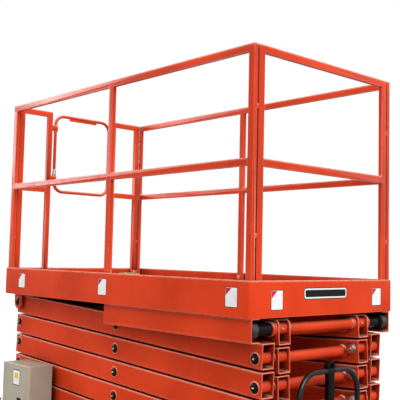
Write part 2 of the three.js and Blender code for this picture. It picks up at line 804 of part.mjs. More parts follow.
// A frame of square-cut tube: rails at three heights between posts.
function guardPanel(along, posts, depth) {
  const box = (a, z) => (along === 'x' ? block(a, depth, z) : block(depth, a, z));
  const ends = [posts[0][0], posts[posts.length - 1][1]];
  return join([
    ...rails(railBottom, railTop).map((z) => box(ends, z)),
    ...posts.map((post) => box(post, [railBottom, railTop])),
  ]);
}

const sidePosts = [
  [-endRailX, -endRailX + railFace],
  [-railFace / 2, railFace / 2],
  [endRailX - railFace, endRailX],
];
for (const [name, side] of sides) {
  const depth = across(side, sideRailY - railDepth, sideRailY);
  place(`${name}_guard_rail`, guardPanel('x', sidePosts, depth), redPaint);
}

const frontPosts = [
  [-endRailHalfWidth, -endRailHalfWidth + railFace],
  [endRailHalfWidth - railFace, endRailHalfWidth],
];
place('front_guard_rail', guardPanel('y', frontPosts, [endRailX - railDepth, endRailX]), redPaint);

const rearDepth = [-endRailX, -endRailX + railDepth];
const gateX = -endRailX + railDepth / 2;
const gateBottom = skirtTop + midRailHeight;
const gateZ = [gateBottom + gateTube, gateBottom + gateHeight - gateTube];
const sleeveHeights = [gateZ[0] + gateBend + 24, gateZ[1] - gateBend - 24];

for (const [name, side] of sides) {
  const posts = [
    [gatewayHalfWidth, gatewayHalfWidth + railFace],
    [endRailHalfWidth - railFace, endRailHalfWidth],
  ].map(([from, to]) => across(side, from, to));
  posts.sort((a, b) => a[0] - b[0]);
  let frame = guardPanel('y', posts, rearDepth);
  if (side < 0) {
    for (const z of sleeveHeights) {
      const knuckle = join([
        bar('z', gateTube + 8, [z - 22, z + 22], [gateX, gateHingeY]),
        block([gateX - 5, gateX + 5], [-gatewayHalfWidth - 1, gateHingeY], [z - 22, z + 22]),
      ]);
      frame = frame.add(knuckle);
    }
    frame = frame.subtract(bore('z', gateTube, gateZ, [gateX, gateHingeY]));
  }
  place(`rear_${name}_guard_rail`, frame, redPaint);
}

place('gate', join([
  tubeLoop(gateX, [gateHingeY, gateHingeY + gateWidth], gateZ, gateBend, gateTube),
  block([gateX - 3, gateX + 3],
    [gateHingeY + gateWidth / 2 - 125, gateHingeY + gateWidth / 2 + 125],
    [gateZ[1] - gateTube - 40, gateZ[1] - gateTube / 2]),
]), redPaint);

// ---------------------------------------------------------------- platform control box

const boxBottom = floorTop + seat;
const boxTop = boxBottom + boxHeight;
place('platform_control_box', join([
  block(boxAlong, boxAcross, [boxBottom, boxTop]),
  block(shrink(boxAlong, 16), shrink(boxAcross, 16), [boxTop - 1, boxTop + 8]),
]), yellowPaint);

export default lift;
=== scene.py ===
import math

import bmesh
import bpy
from mathutils import Matrix, Vector


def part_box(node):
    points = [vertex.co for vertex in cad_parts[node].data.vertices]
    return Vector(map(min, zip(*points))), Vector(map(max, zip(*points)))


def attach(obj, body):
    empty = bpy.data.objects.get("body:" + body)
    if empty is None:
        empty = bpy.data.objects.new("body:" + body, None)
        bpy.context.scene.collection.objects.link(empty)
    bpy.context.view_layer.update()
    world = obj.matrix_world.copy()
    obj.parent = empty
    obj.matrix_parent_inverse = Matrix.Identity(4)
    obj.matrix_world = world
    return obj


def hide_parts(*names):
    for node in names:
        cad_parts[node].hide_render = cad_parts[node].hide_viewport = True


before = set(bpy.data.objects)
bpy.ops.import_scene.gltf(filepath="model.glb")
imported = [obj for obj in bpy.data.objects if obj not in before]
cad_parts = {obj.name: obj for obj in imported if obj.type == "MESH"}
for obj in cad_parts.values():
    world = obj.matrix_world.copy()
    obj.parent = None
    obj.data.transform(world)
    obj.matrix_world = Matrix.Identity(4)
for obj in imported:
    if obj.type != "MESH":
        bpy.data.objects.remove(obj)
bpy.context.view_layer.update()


# ---- Camera
# A person's eye beside the front left corner, a hand's width above the top edge of the platform.
# It looks up a little, so the guard rails stand tall over the folded arms.

deck_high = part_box("deck")[1]
eye_place = Vector((3.7712, -3.2400, deck_high.z + 0.117))
eye_yaw = math.radians(47.86)
eye_pitch = math.radians(4.23)
eye_roll = math.radians(1.28)

forward = Vector((
    -math.sin(eye_yaw) * math.cos(eye_pitch),
    math.cos(eye_yaw) * math.cos(eye_pitch),
    math.sin(eye_pitch),
))
level_right = Vector((math.cos(eye_yaw), math.sin(eye_yaw), 0.0))
level_up = level_right.cross(forward)
right = math.cos(eye_roll) * level_right + math.sin(eye_roll) * level_up
up = -math.sin(eye_roll) * level_right + math.cos(eye_roll) * level_up

camera_data = bpy.data.cameras.new("eye")
camera_data.sensor_width = 36.0
camera_data.lens = 67.46
camera_data.clip_start = 0.05
camera_data.clip_end = 200.0
camera = bpy.data.objects.new("eye", camera_data)
bpy.context.collection.objects.link(camera)
camera.matrix_world = Matrix((
    (right.x, up.x, -forward.x, eye_place.x),
    (right.y, up.y, -forward.y, eye_place.y),
    (right.z, up.z, -forward.z, eye_place.z),
    (0.0, 0.0, 0.0, 1.0),
))
bpy.context.scene.camera = camera
bpy.context.scene.view_settings.view_transform = "Standard"


# ---- Floor and light
# A plain pale floor that runs to the horizon, under an even white sky.
# One broad lamp from the front gives the front faces a little more light than the sides, and a
# large soft panel behind on the left puts a sheen on the guard rails.

floor_half = 60.0
sky_level = 0.78


def shader_node(tree, kind, feeds=None, **options):
    """Adds a node, sets its options, and feeds its sockets with numbers or with other nodes."""
    part = tree.nodes.new("ShaderNode" + kind)
    for option, value in options.items():
        setattr(part, option, value)
    for socket, value in (feeds or {}).items():
        if isinstance(value, bpy.types.NodeSocket):
            tree.links.new(value, part.inputs[socket])
        else:
            part.inputs[socket].default_value = value
    return part


def empty_tree(owner):
    owner.use_nodes = True
    owner.node_tree.nodes.clear()
    return owner.node_tree


def hang_lamp(name, kind, toward, **values):
    """Adds a lamp that shines from the given direction."""
    data = bpy.data.lights.new(name, kind)
    for option, value in values.items():
        setattr(data, option, value)
    lamp = bpy.data.objects.new(name, data)
    bpy.context.collection.objects.link(lamp)
    lamp.rotation_mode = "QUATERNION"
    lamp.rotation_quaternion = Vector(toward).to_track_quat("Z", "Y")
    return lamp


corners = ((-1, -1), (1, -1), (1, 1), (-1, 1))
floor_mesh = bpy.data.meshes.new("floor")
floor_mesh.from_pydata([(floor_half * x, floor_half * y, 0) for x, y in corners], [], [(0, 1, 2, 3)])
floor = bpy.data.objects.new("floor", floor_mesh)
bpy.context.collection.objects.link(floor)

pale_floor = bpy.data.materials.new("pale_floor")
floor_mesh.materials.append(pale_floor)
tree = empty_tree(pale_floor)
paint = shader_node(tree, "BsdfDiffuse", {"Color": (0.86, 0.86, 0.86, 1)})
shade = shader_node(tree, "BsdfDiffuse", {"Color": (0.36, 0.35, 0.34, 1)})
glow = shader_node(tree, "Emission", {"Strength": 0.22})
seen = shader_node(tree, "AddShader", {0: paint.outputs[0], 1: glow.outputs[0]})
ray = shader_node(tree, "LightPath")
choice = shader_node(tree, "MixShader", {
    0: ray.outputs["Is Camera Ray"], 1: shade.outputs[0], 2: seen.outputs[0]})
shader_node(tree, "OutputMaterial", {0: choice.outputs[0]})

sky = bpy.data.worlds.new("white_sky")
bpy.context.scene.world = sky
tree = empty_tree(sky)
soft_light = shader_node(tree, "Background", {"Color": (1, 1, 1, 1), "Strength": sky_level})
backdrop = shader_node(tree, "Background", {"Color": (1, 1, 1, 1), "Strength": 1.0})
ray = shader_node(tree, "LightPath")
mirrored = shader_node(tree, "Math", {
    0: ray.outputs["Is Camera Ray"], 1: ray.outputs["Is Glossy Ray"]}, operation="MAXIMUM")
seen = shader_node(tree, "Math", {
    0: mirrored.outputs[0], 1: ray.outputs["Is Transmission Ray"]}, operation="MAXIMUM")
choice = shader_node(tree, "MixShader", {
    0: seen.outputs[0], 1: soft_light.outputs[0], 2: backdrop.outputs[0]})
shader_node(tree, "OutputWorld", {0: choice.outputs[0]})

hang_lamp("broad_lamp", "SUN", (0.86, -0.26, 0.75), energy=2.0, angle=math.radians(38))
panel_place = Vector((-7.6, -3.5, 4.4))
panel_target = Vector((0, 0, 2.2))
panel = hang_lamp("rear_left_panel", "AREA", panel_place - panel_target, shape="RECTANGLE",
                  size=4.2, size_y=3.2, energy=230)
panel.location = panel_place


# ---- Chassis
# The welded base: rectangular tube beams, outrigger sleeves across both ends, and the lower roller
# tracks along both sides. Cut from stock tube, welded up in a jig, blasted and sprayed red.

track_wall = 6
bead_size = 4.5
bead_ripple = 5
collar_depth = 12
collar_edge = 3


def start_finish(name):
    """A new finish, with the piece's own coordinates in metres."""
    finish = bpy.data.materials.new(name)
    finish.use_nodes = True
    tree = finish.node_tree
    place = shader_node(tree, "TexCoord").outputs["Object"]
    return finish, tree, tree.nodes["Principled BSDF"], place


def mottle(tree, place, scale, detail=3.0, stretch=(1, 1, 1)):
    """A cloudy pattern between 0 and 1, with so many clouds to the metre."""
    mapping = shader_node(tree, "Mapping", {"Vector": place, "Scale": stretch})
    feeds = {"Vector": mapping.outputs[0], "Scale": scale, "Detail": detail}
    return shader_node(tree, "TexNoise", feeds).outputs["Fac"]


def spread(tree, value, low, high, to_low=0.0, to_high=1.0):
    """Stretches a value's range from low..high to another range."""
    feeds = {"Value": value, "From Min": low, "From Max": high, "To Min": to_low, "To Max": to_high}
    return shader_node(tree, "MapRange", feeds).outputs["Result"]


def times(tree, first, second):
    return shader_node(tree, "Math", {0: first, 1: second}, operation="MULTIPLY").outputs[0]


def blend_colour(tree, amount, first, second):
    """Mixes two colours; either may be three numbers or another node's output."""
    first, second = [(*c, 1) if isinstance(c, tuple) else c for c in (first, second)]
    feeds = {"Factor": amount, 6: first, 7: second}
    return shader_node(tree, "Mix", feeds, data_type="RGBA").outputs[2]


def clouded(tree, place, first, second, scale, low, high, detail=3.0, most=1.0, stretch=(1, 1, 1)):
    """One colour with clouds of a second one in it, up to a given strength."""
    amount = spread(tree, mottle(tree, place, scale, detail, stretch), low, high, 0.0, most)
    return blend_colour(tree, amount, first, second)


def worn_edges(tree, place, width, first=0.42, last=0.60, upper=False):
    """1 along the edges that get rubbed, broken up, which on the paints also stands in as a painted
    highlight; or along the upper edges only, as a painted highlight.
    """
    rounded = shader_node(tree, "Bevel", {"Radius": width}, samples=4).outputs[0]
    flat = shader_node(tree, "NewGeometry").outputs["Normal"]
    likeness = shader_node(tree, "VectorMath", {0: rounded, 1: flat}, operation="DOT_PRODUCT")
    edge = spread(tree, likeness.outputs["Value"], *((0.998, 0.92) if upper else (0.995, 0.80)))
    if upper:
        facing = shader_node(tree, "SeparateXYZ", {0: rounded}).outputs["Z"]
        edge = times(tree, edge, spread(tree, facing, 0.12, 0.42))
    return times(tree, edge, spread(tree, mottle(tree, place, 26, 4.0), first, last))


def rub(tree, place, skin, width, edge_colour):
    """Brings out another colour along the edges that get rubbed."""
    return blend_colour(tree, worn_edges(tree, place, width), skin, edge_colour)


def painted_shade(tree, skin, shade_colour, reach):
    """Painted shade: darkens the narrow gaps and the inside of the stack towards a given colour, by how
    shut in each point is.
    """
    shut_in = shader_node(tree, "AmbientOcclusion", {"Distance": reach}, samples=4)
    return blend_colour(tree, spread(tree, shut_in.outputs["AO"], 0.16, 0.54), shade_colour, skin)


def lay_on(tree, shader, skin, grain, gloss, height, pits=None):
    """Gives the shader its colour, a gloss that varies with the grain, and a relief in millimetres."""
    bump = shader_node(tree, "Bump", {
        "Height": pits or grain, "Strength": 0.8, "Distance": height * 0.001})
    tree.links.new(skin, shader.inputs["Base Color"])
    tree.links.new(spread(tree, grain, 0.3, 0.7, *gloss), shader.inputs["Roughness"])
    tree.links.new(bump.outputs[0], shader.inputs["Normal"])


def sprayed_paint(name, colour, edge_colour, dusty, gloss, shine, edge_width=0.0035, even=0.0, top_highlight_width=0.0,
                  shade_colour=None):
    """Sprayed enamel: slight unevenness, faint orange peel, rubbed edges that on the reds also serve as a
    painted highlight, and a little dust; given a shade colour it adds painted shade in the gaps, and
    given a width a painted highlight along the upper edges.
    """
    finish, tree, shader, place = start_finish(name)
    darker = tuple(part * 0.86 for part in colour)
    paler = tuple(min(1.0, part * 1.10 + 0.003) for part in colour)
    coat = clouded(tree, place, darker, paler, 2.3, 0.35, 0.65)
    coat = clouded(tree, place, coat, dusty, 7.0, 0.50, 0.80, 5.0, 0.22, (1, 1, 0.35))
    # Painted shade in the narrow gaps and inside the stack.
    if shade_colour:
        coat = painted_shade(tree, coat, shade_colour, 0.40)
    # Rubbed edges in a lighter colour; on the red paints this lighter edge is also a painted highlight.
    coat = blend_colour(tree, worn_edges(tree, place, edge_width, 0.42 - even, 0.60 - even), coat, edge_colour)
    # Painted highlight: a brighter line along the upper edges only.
    if top_highlight_width:
        line = worn_edges(tree, place, top_highlight_width, 0.0, 0.5, True)
        coat = blend_colour(tree, line, coat, tuple(min(1.0, part * 1.7) for part in edge_colour))
    lay_on(tree, shader, coat, mottle(tree, place, 14.0, 4.0), (gloss - 0.06, gloss + 0.10), 0.10,
           mottle(tree, place, 420, 2.0))
    shader.inputs["Specular IOR Level"].default_value = shine
    return finish


def box_mm(node):
    """A CAD node's lowest and highest corner, in millimetres."""
    low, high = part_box(node)
    return low * 1000, high * 1000


def break_edges(part, width, steps, crease):
    broken = part.modifiers.new("broken_edges", "BEVEL")
    broken.width = width * 0.001
    broken.segments = steps
    broken.limit_method = "ANGLE"
    broken.angle_limit = math.radians(crease)
    broken.harden_normals = True


def dress(node, finish, edge=1.5):
    """Gives a CAD node its finish and breaks its sharp edges."""
    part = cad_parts[node]
    part.data.materials.clear()
    part.data.materials.append(finish)
    for face in part.data.polygons:
        face.material_index = 0
        face.use_smooth = True
    weld = part.modifiers.new("weld", "WELD")
    weld.merge_threshold = 0.00002
    break_edges(part, edge, 2, 50)


def aimed(axis):
    """Turns +Z to one of the six directions, named x, -x, y, -y, z, -z."""
    target = {"x": (1, 0, 0), "y": (0, 1, 0), "z": (0, 0, 1)}[axis[-1]]
    direction = Vector(target) * (-1 if axis[0] == "-" else 1)
    return direction.to_track_quat("Z", "Y").to_matrix().to_4x4()


def block(mesh, low, high):
    """Adds a block between two corners."""
    size = [b - a for a, b in zip(low, high)]
    middle = [(a + b) / 2 for a, b in zip(low, high)]
    where = Matrix.Translation(middle) @ Matrix.Diagonal((*size, 1))
    return bmesh.ops.create_cube(mesh, size=1, matrix=where)["verts"]


def rings(mesh, loops, closed=False, capped=True):
    """Skins a row of point loops that all have the same number of points."""
    rows = [[mesh.verts.new(point) for point in loop] for loop in loops]
    pairs = list(zip(rows, rows[1:] + rows[:1])) if closed else list(zip(rows, rows[1:]))
    for first, second in pairs:
        for i in range(len(first)):
            j = (i + 1) % len(first)
            mesh.faces.new((first[i], first[j], second[j], second[i]))
    if capped and not closed:
        mesh.faces.new(list(reversed(rows[0])))
        mesh.faces.new(rows[-1])
    return rows


def round_about(steps):
    """The angles of so many equal steps round a circle."""
    return [2 * math.pi * i / steps for i in range(steps)]


def turned(mesh, profile, at, axis="z", steps=32, closed=False):
    """Adds a turned shape: pairs of height along the axis and radius."""
    where = Matrix.Translation(at) @ aimed(axis)
    return rings(mesh, [[where @ Vector((radius * math.cos(a), radius * math.sin(a), along))
                         for a in round_about(steps)] for along, radius in profile], closed)


def placed(point, along, axis):
    """A point of a flat outline, moved along one axis."""
    a, b = point
    return {"x": (along, a, b), "y": (a, along, b), "z": (a, b, along)}[axis]


def cut_plate(mesh, outline, axis, low, high):
    """Adds a plate cut to an outline, from low to high along one axis."""
    return rings(mesh, [[placed(p, along, axis) for p in outline] for along in (low, high)])


def tube_wall(mesh, outside, inside, axis, low, high):
    """Adds a hollow section: an outline with a smaller one of as many points inside it."""
    loops = [[placed(p, along, axis) for p in outline] for outline, along in (
        (outside, low), (outside, high), (inside, high), (inside, low))]
    return rings(mesh, loops, closed=True)


def round_corners(low, high, radius, steps):
    """The outline of a rectangle with bent corners."""
    outline = []
    for cx, cy, start in ((high[0], high[1], 0), (low[0], high[1], 90),
                          (low[0], low[1], 180), (high[0], low[1], 270)):
        inward_x = radius if cx == high[0] else -radius
        inward_y = radius if cy == high[1] else -radius
        for i in range(steps + 1):
            angle = math.radians(start + 90 * i / steps)
            outline.append((cx - inward_x + radius * math.cos(angle),
                            cy - inward_y + radius * math.sin(angle)))
    return outline


def inset(flat, by, radius, steps=4):
    """A rectangle, given by its low and high corner, drawn in by some millimetres and rounded."""
    low_a, low_b, high_a, high_b = flat
    return round_corners((low_a + by, low_b + by), (high_a - by, high_b - by), radius, steps)


def bar(low, high, radius, chamfer, drop, bore=None):
    """The profile of a turned bar with chamfered ends, or of a ring when it has a bore."""
    edge = radius - drop
    ends = [(low, edge), (low + chamfer, radius), (high - chamfer, radius), (high, edge)]
    return ends + ([(high, bore), (low, bore)] if bore else [])


def swept(mesh, path, radius, sides=12, closed=False):
    """Adds a round bar or tube along a path; the radius may be a list, one for each point."""
    points = [Vector(p) for p in path]
    radii = radius if isinstance(radius, list) else [radius] * len(points)
    count = len(points)
    loops = []
    side = None
    for i, point in enumerate(points):
        before = points[i - 1] if (i or closed) else point
        after = points[(i + 1) % count] if (i < count - 1 or closed) else point
        along = (after - before).normalized()
        if side is None:
            side = along.orthogonal().normalized()
        side = (side - along * side.dot(along)).normalized()
        other = along.cross(side)
        loops.append([point + radii[i] * (math.cos(a) * side + math.sin(a) * other)
                      for a in round_about(sides)])
    return rings(mesh, loops, closed)


def weld_bead(mesh, start, end, size=bead_size):
    """Adds a rippled fillet weld along a straight joint."""
    start, end = Vector(start), Vector(end)
    count = max(3, int((end - start).length / bead_ripple))
    path = [start.lerp(end, i / count) for i in range(count + 1)]
    radii = [size * (1.0 if i % 2 else 0.82) for i in range(count + 1)]
    radii[0] = radii[-1] = size * 0.5
    swept(mesh, path, radii, 6)


def side_span(side, first, second):
    """Two distances from the middle, on one side of the machine, lowest first."""
    return sorted((side * first, side * second))


both_sides = ((-1, "-y"), (1, "y"))


def make_piece(name, mesh, finish, body, edge=0.0, stands_for=(), crease=35, steps=2):
    """Turns a shape in millimetres into a finished piece that rides on a body."""
    bmesh.ops.recalc_face_normals(mesh, faces=mesh.faces)
    mesh.transform(Matrix.Scale(0.001, 4))
    data = bpy.data.meshes.new(name)
    mesh.to_mesh(data)
    mesh.free()
    data.shade_smooth()
    data.set_sharp_from_angle(angle=math.radians(crease))
    data.materials.append(finish)
    piece = bpy.data.objects.new(name, data)
    bpy.context.collection.objects.link(piece)
    if edge:
        break_edges(piece, edge, steps, crease)
    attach(piece, body)
    if stands_for:
        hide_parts(*stands_for)
    return piece


# Red paint with painted shade in the gaps and inside the stack, and a painted highlight along its edges
# and upper edges.
red_enamel = sprayed_paint(
    "red_enamel", (0.73, 0.052, 0.010), (0.90, 0.29, 0.21), (0.62, 0.07, 0.02), 0.30, 0.07,
    0.005, 0.22, 0.016, (0.09, 0.007, 0.002))
dress("chassis", red_enamel, 2.0)

frame_high = box_mm("chassis")[1]
beam_top = 485
beam_bottom = 405
side_beam_inner = 523
inner_rail = (300, 360)
cross_beams = (-800, 0, 800)
sleeve_places = (-1169, -1083, 1083, 1169)

sleeve_half = 43
track_bead_z = 499
sleeve_bore = 38.2
lock_screw_y = 545
ear_rear, ear_front = -1226, -1126
ear_faces = (385, 401)

welds = bmesh.new()
for x in cross_beams:
    for edge_x in (x - 50, x + 50):
        for distance, size in ((side_beam_inner, bead_size), (inner_rail[0], 3.5), (inner_rail[1], 3.5)):
            for y in (-distance, distance):
                weld_bead(welds, (edge_x, y, beam_bottom + 4), (edge_x, y, beam_top - 4), size)
for side in (-1, 1):
    for x in sleeve_places:
        for distance in inner_rail:
            y, z = side * distance, beam_top + 0.5
            weld_bead(welds, (x - 38, y, z), (x + 38, y, z), 3.5)
    y, z = side * side_beam_inner, track_bead_z
    for x in range(-10, 1200, 110):
        weld_bead(welds, (x, y, z), (x + 55, y, z), 3.5)
    for x in (ear_rear, ear_front):
        weld_bead(welds, (x, side * ear_faces[0], beam_top), (x, side * ear_faces[1], beam_top), 3.5)
    for y in ear_faces:
        weld_bead(welds, (ear_rear + 2, side * y, beam_top), (ear_front - 2, side * y, beam_top), 4)
make_piece("chassis_weld_beads", welds, red_enamel, "chassis")

collars = bmesh.new()
locks = bmesh.new()
middle_z = beam_top - sleeve_half
for x in sleeve_places:
    sleeve = (x - sleeve_half, middle_z - sleeve_half, x + sleeve_half, middle_z + sleeve_half)
    for side in (-1, 1):
        near, far = side_span(side, frame_high.y - 1, frame_high.y + collar_depth)
        around, bore = inset(sleeve, -collar_edge, 5, 3), inset(sleeve, sleeve_half - sleeve_bore, 2, 3)
        tube_wall(collars, around, bore, "y", near, far)
        screw = (x, side * lock_screw_y, middle_z - sleeve_half)
        turned(locks, [(0, 11), (8, 11), (9, 6), (26, 6)], screw, "-z", 12)
        turned(locks, bar(-22, 22, 4, 2, 1), (x, screw[1], screw[2] - 23), "x", 10)
make_piece("outrigger_sleeve_collars", collars, red_enamel, "chassis", 1.0)


def bare_metal(name, colour, gloss, scratch=(1, 1, 1), tarnish=(0.20, 0.17, 0.14)):
    """Plated or machined steel: fine tool marks, a little tarnish and uneven shine."""
    finish, tree, shader, place = start_finish(name)
    paler = tuple(min(1.0, part * 1.15) for part in colour)
    skin = clouded(tree, place, colour, paler, 9.0, 0.3, 0.7)
    skin = clouded(tree, place, skin, tarnish, 38.0, 0.60, 0.80, 5.0, 0.3)
    skin = rub(tree, place, skin, 0.0015, paler)
    lines = mottle(tree, place, 160, 3.0, scratch)
    lay_on(tree, shader, skin, lines, (gloss - 0.05, gloss + 0.14), 0.04)
    shader.inputs["Metallic"].default_value = 1.0
    return finish


zinc_plate = bare_metal("zinc_plate", (0.56, 0.55, 0.54), 0.30)
make_piece("sleeve_locking_screws", locks, zinc_plate, "chassis", 0.6)


# ---- Wheels and rear axle
# Solid rubber tyres on pressed steel rims, each on a stub of the axle with a grease cap.
# The rear axle is a square tube welded up to the frame, painted black.

rim_half = [(-30, 97.6), (-30, 92), (-24, 88), (-15, 80), (-10, 72),
            (-10, 44), (-30, 40), (-40, 34), (-40, 19)]
tyre_half = [(-31, 98.5), (-36, 106), (-43, 116), (-45, 130), (-44, 142), (-40, 153), (-35, 158),
             (-27, 159.6), (-25, 153), (-20, 153), (-18, 160), (-4, 160), (-2.5, 153)]
lug_rows = 26
lug_floor = 156
tyre_steps = 96
lug_radius = 154.5
bolt_circle = 58

black_enamel = sprayed_paint(
    "black_enamel", (0.005, 0.0045, 0.005), (0.07, 0.065, 0.065), (0.014, 0.012, 0.011),
    0.22, 0.10)
grey_enamel = sprayed_paint(
    "grey_enamel", (0.42, 0.40, 0.34), (0.62, 0.60, 0.55), (0.34, 0.30, 0.24), 0.42, 0.3)


def moulded_rubber(name, colour, dust):
    """Tyre and grip rubber: dull, dusty in the hollows and a little pitted."""
    finish, tree, shader, place = start_finish(name)
    skin = clouded(tree, place, colour, dust, 16, 0.45, 0.75, 4.0)
    skin = rub(tree, place, skin, 0.004, tuple(part * 2.2 + 0.01 for part in colour))
    lay_on(tree, shader, skin, mottle(tree, place, 300, 3.0), (0.68, 0.86), 0.25)
    shader.inputs["Specular IOR Level"].default_value = 0.15
    return finish


tyre_rubber = moulded_rubber("tyre_rubber", (0.022, 0.021, 0.021), (0.085, 0.078, 0.068))


def hex_nut(mesh, at, axis, across, height, shank=0.0):
    """Adds a nut or bolt head on a washer, with the rounded end of its thread."""
    radius = across / math.sqrt(3)
    turned(mesh, [(0, radius * 1.22), (height * 0.22, radius * 1.22)], at, axis, 20)
    turned(mesh, [(height * 0.22, radius), (height, radius * 0.98)], at, axis, 6)
    if shank:
        end = height + shank
        turned(mesh, [(height * 0.5, across * 0.27), (end - 1, across * 0.27), (end, across * 0.2)],
               at, axis, 12)


def mirrored(half):
    """Both halves of a profile that is the same on either side of the wheel's middle."""
    return half + [(-along, radius) for along, radius in reversed(half)]


dress("rear_axle", black_enamel, 2.0)
for wheel in ("front_left", "front_right", "rear_left", "rear_right"):
    hub = sum(box_mm(wheel + "_tyre"), Vector()) / 2
    body = wheel + "_wheel"
    tyre = bmesh.new()
    rows = turned(tyre, mirrored(tyre_half), hub, "y", tyre_steps, True)
    for row in rows:
        for i, vert in enumerate(row):
            arm = Vector((vert.co.x - hub.x, 0, vert.co.z - hub.z))
            if abs(vert.co.y - hub.y) > lug_rows and arm.length > lug_floor and i % 8 in (0, 1, 2):
                vert.co -= arm.normalized() * (arm.length - lug_radius)
    make_piece(wheel + "_tyre_rubber", tyre, tyre_rubber, body, stands_for=(wheel + "_tyre",))
    rim = bmesh.new()
    turned(rim, mirrored(rim_half), hub, "y", 48, True)
    make_piece(wheel + "_rim_pressing", rim, grey_enamel, body, 0.8,
               stands_for=(wheel + "_rim",))
    fixings = bmesh.new()
    for side, outward in both_sides:
        for a in round_about(5):
            spot = hub + Vector((bolt_circle * math.cos(a), side * 10, bolt_circle * math.sin(a)))
            hex_nut(fixings, spot, outward, 17, 9, 4)
        capped = side * hub.y > 0 and wheel.startswith("rear")
        cap = [(38, 27), (41, 27), (44, 22), (45, 12)] if capped else [(38, 24), (41, 23), (41.5, 19)]
        turned(fixings, cap, hub, outward, 28)
    make_piece(wheel + "_hub_fixings", fixings, zinc_plate, body, 0.4)


# ---- Swivel casters
# A forged fork under a double row of balls, bolted up to the front cross beam on each side.
# The fork is bent plate painted black; the ball race and the axle nuts are zinc plated.

race_radius = 55
race_rows = (351, 361)
grease_z = 357
fork_half = 62

for name in ("left", "right"):
    fork = name + "_caster_fork"
    dress(fork, black_enamel, 2.0)
    high = box_mm(fork)[1]
    hub = sum(box_mm("front_" + name + "_tyre"), Vector()) / 2
    swivel_x = high.x - 52
    trim = bmesh.new()
    for z in race_rows:
        turned(trim, bar(0, 8, race_radius, 1, 5), (swivel_x, hub.y, z), "z", 36)
    for side, outward in both_sides:
        hex_nut(trim, (hub.x, hub.y + side * fork_half, hub.z), outward, 26, 11, 3)
    grease_point = (swivel_x + race_radius - 1, hub.y, grease_z)
    turned(trim, [(0, 5), (4, 5), (5, 2.5), (9, 3), (11, 2)], grease_point, "x", 10)
    make_piece(name + "_caster_race", trim, zinc_plate, name + "_caster", 0.5)


# ---- Outriggers and screw jacks
# Square pull-out beams with an upright screw jack welded to each end, a crank on top of it.
# The foot is a turned steel pad on a ball at the end of the rolled screw.

screw_radius = 21.5
screw_root = 18.5
screw_pitch = 9
pad_radius = 75
housing_top = 560
housing_foot = 332
housing_face = 607.5
crank_z = 594
housing_beads = (479.5, 404.5)

for end in ("front", "rear"):
    for name in ("left", "right"):
        jack = end + "_" + name
        dress(jack + "_outrigger_beam", red_enamel, 1.5)
        low, high = box_mm(jack + "_jack_leg")
        middle = (low + high) / 2
        foot = (middle.x, middle.y, low.z)
        leg = bmesh.new()
        outline = [(13, 24), (24, 27), (30, 24), (34, screw_root)]
        z = 40.0
        while z < high.z - low.z - 18:
            outline += bar(z, z + 7.2, screw_radius, 2.2, screw_radius - screw_root)
            z += screw_pitch
        turned(leg, outline, foot, "z", 24)
        turned(leg, [(0, pad_radius - 3), (3, pad_radius), (9, pad_radius), (11, pad_radius - 3),
                     (9, pad_radius - 8), (9, 44), (14, 34), (15, 26)], foot, "z", 48)
        for a in round_about(4):
            spot = (54 * math.cos(a + math.pi / 4), 54 * math.sin(a + math.pi / 4), 9)
            hex_nut(leg, Vector(foot) + Vector(spot), "z", 12, 5)
        make_piece(jack + "_jack_screw", leg, zinc_plate, jack + "_jack",
                   stands_for=(jack + "_jack_leg",))
        house = bmesh.new()
        turned(house, [(-6, 35), (-2, 37), (2, 37), (6, 30), (10, 14)],
               (middle.x, middle.y, housing_top), "z", 32)
        turned(house, [(0, 36.5), (9, 36.5)], (middle.x, middle.y, housing_foot), "z", 32)
        y = math.copysign(housing_face, middle.y)
        for z in housing_beads:
            weld_bead(house, (middle.x - 34, y, z), (middle.x + 34, y, z), 4)
        make_piece(jack + "_jack_caps", house, red_enamel, jack + "_outrigger", 0.8)
        grip = bmesh.new()
        turned(grip, [(26, 10), (28, 13), (34, 12), (46, 13.5), (58, 12), (66, 13), (69, 10)],
               (middle.x, middle.y, crank_z), "x" if end == "front" else "-x", 20)
        make_piece(jack + "_crank_grip", grip, tyre_rubber, jack + "_outrigger")


# ---- Drawbar
# A bent loop of round tube to push by, welded to a flat steel shaft with a towing eye on top.
# It hinges on a pin low on the chassis, and all of it is sprayed gloss black.

loop_half = 245
loop_low, loop_high = 700, 1040
loop_bend = 130
loop_radius = 15
shaft_half = 25
shaft_depth = 15
eye_z = 1062
pivot_z = 445

low, high = box_mm("drawbar")
bar_x = (low.x + high.x) / 2


loop_enamel = sprayed_paint(
    "loop_enamel", (0.006, 0.006, 0.008), (0.08, 0.08, 0.085), (0.016, 0.015, 0.015),
    0.16, 0.42)
handle = bmesh.new()
path = round_corners((-loop_half, loop_low), (loop_half, loop_high), loop_bend, 12)
swept(handle, [placed(p, bar_x, "x") for p in path], loop_radius, 20, True)
make_piece("drawbar_loop", handle, loop_enamel, "drawbar", stands_for=("drawbar",))

shaft = bmesh.new()
outline = inset((bar_x - shaft_depth, -shaft_half, bar_x + shaft_depth, shaft_half), 0, 4)
cut_plate(shaft, outline, "z", pivot_z + 8, eye_z - 22)
turned(shaft, bar(-shaft_half, shaft_half, 24, 1.5, 1, 12), (bar_x, 0, pivot_z), "y", 32, True)
ring = [(-16, 28), (-13, 30), (13, 30), (16, 28), (16, 19), (14, 17), (-14, 17), (-16, 19)]
turned(shaft, ring, (bar_x, 0, eye_z), "x", 36, True)
make_piece("drawbar_shaft", shaft, black_enamel, "drawbar", 0.8)

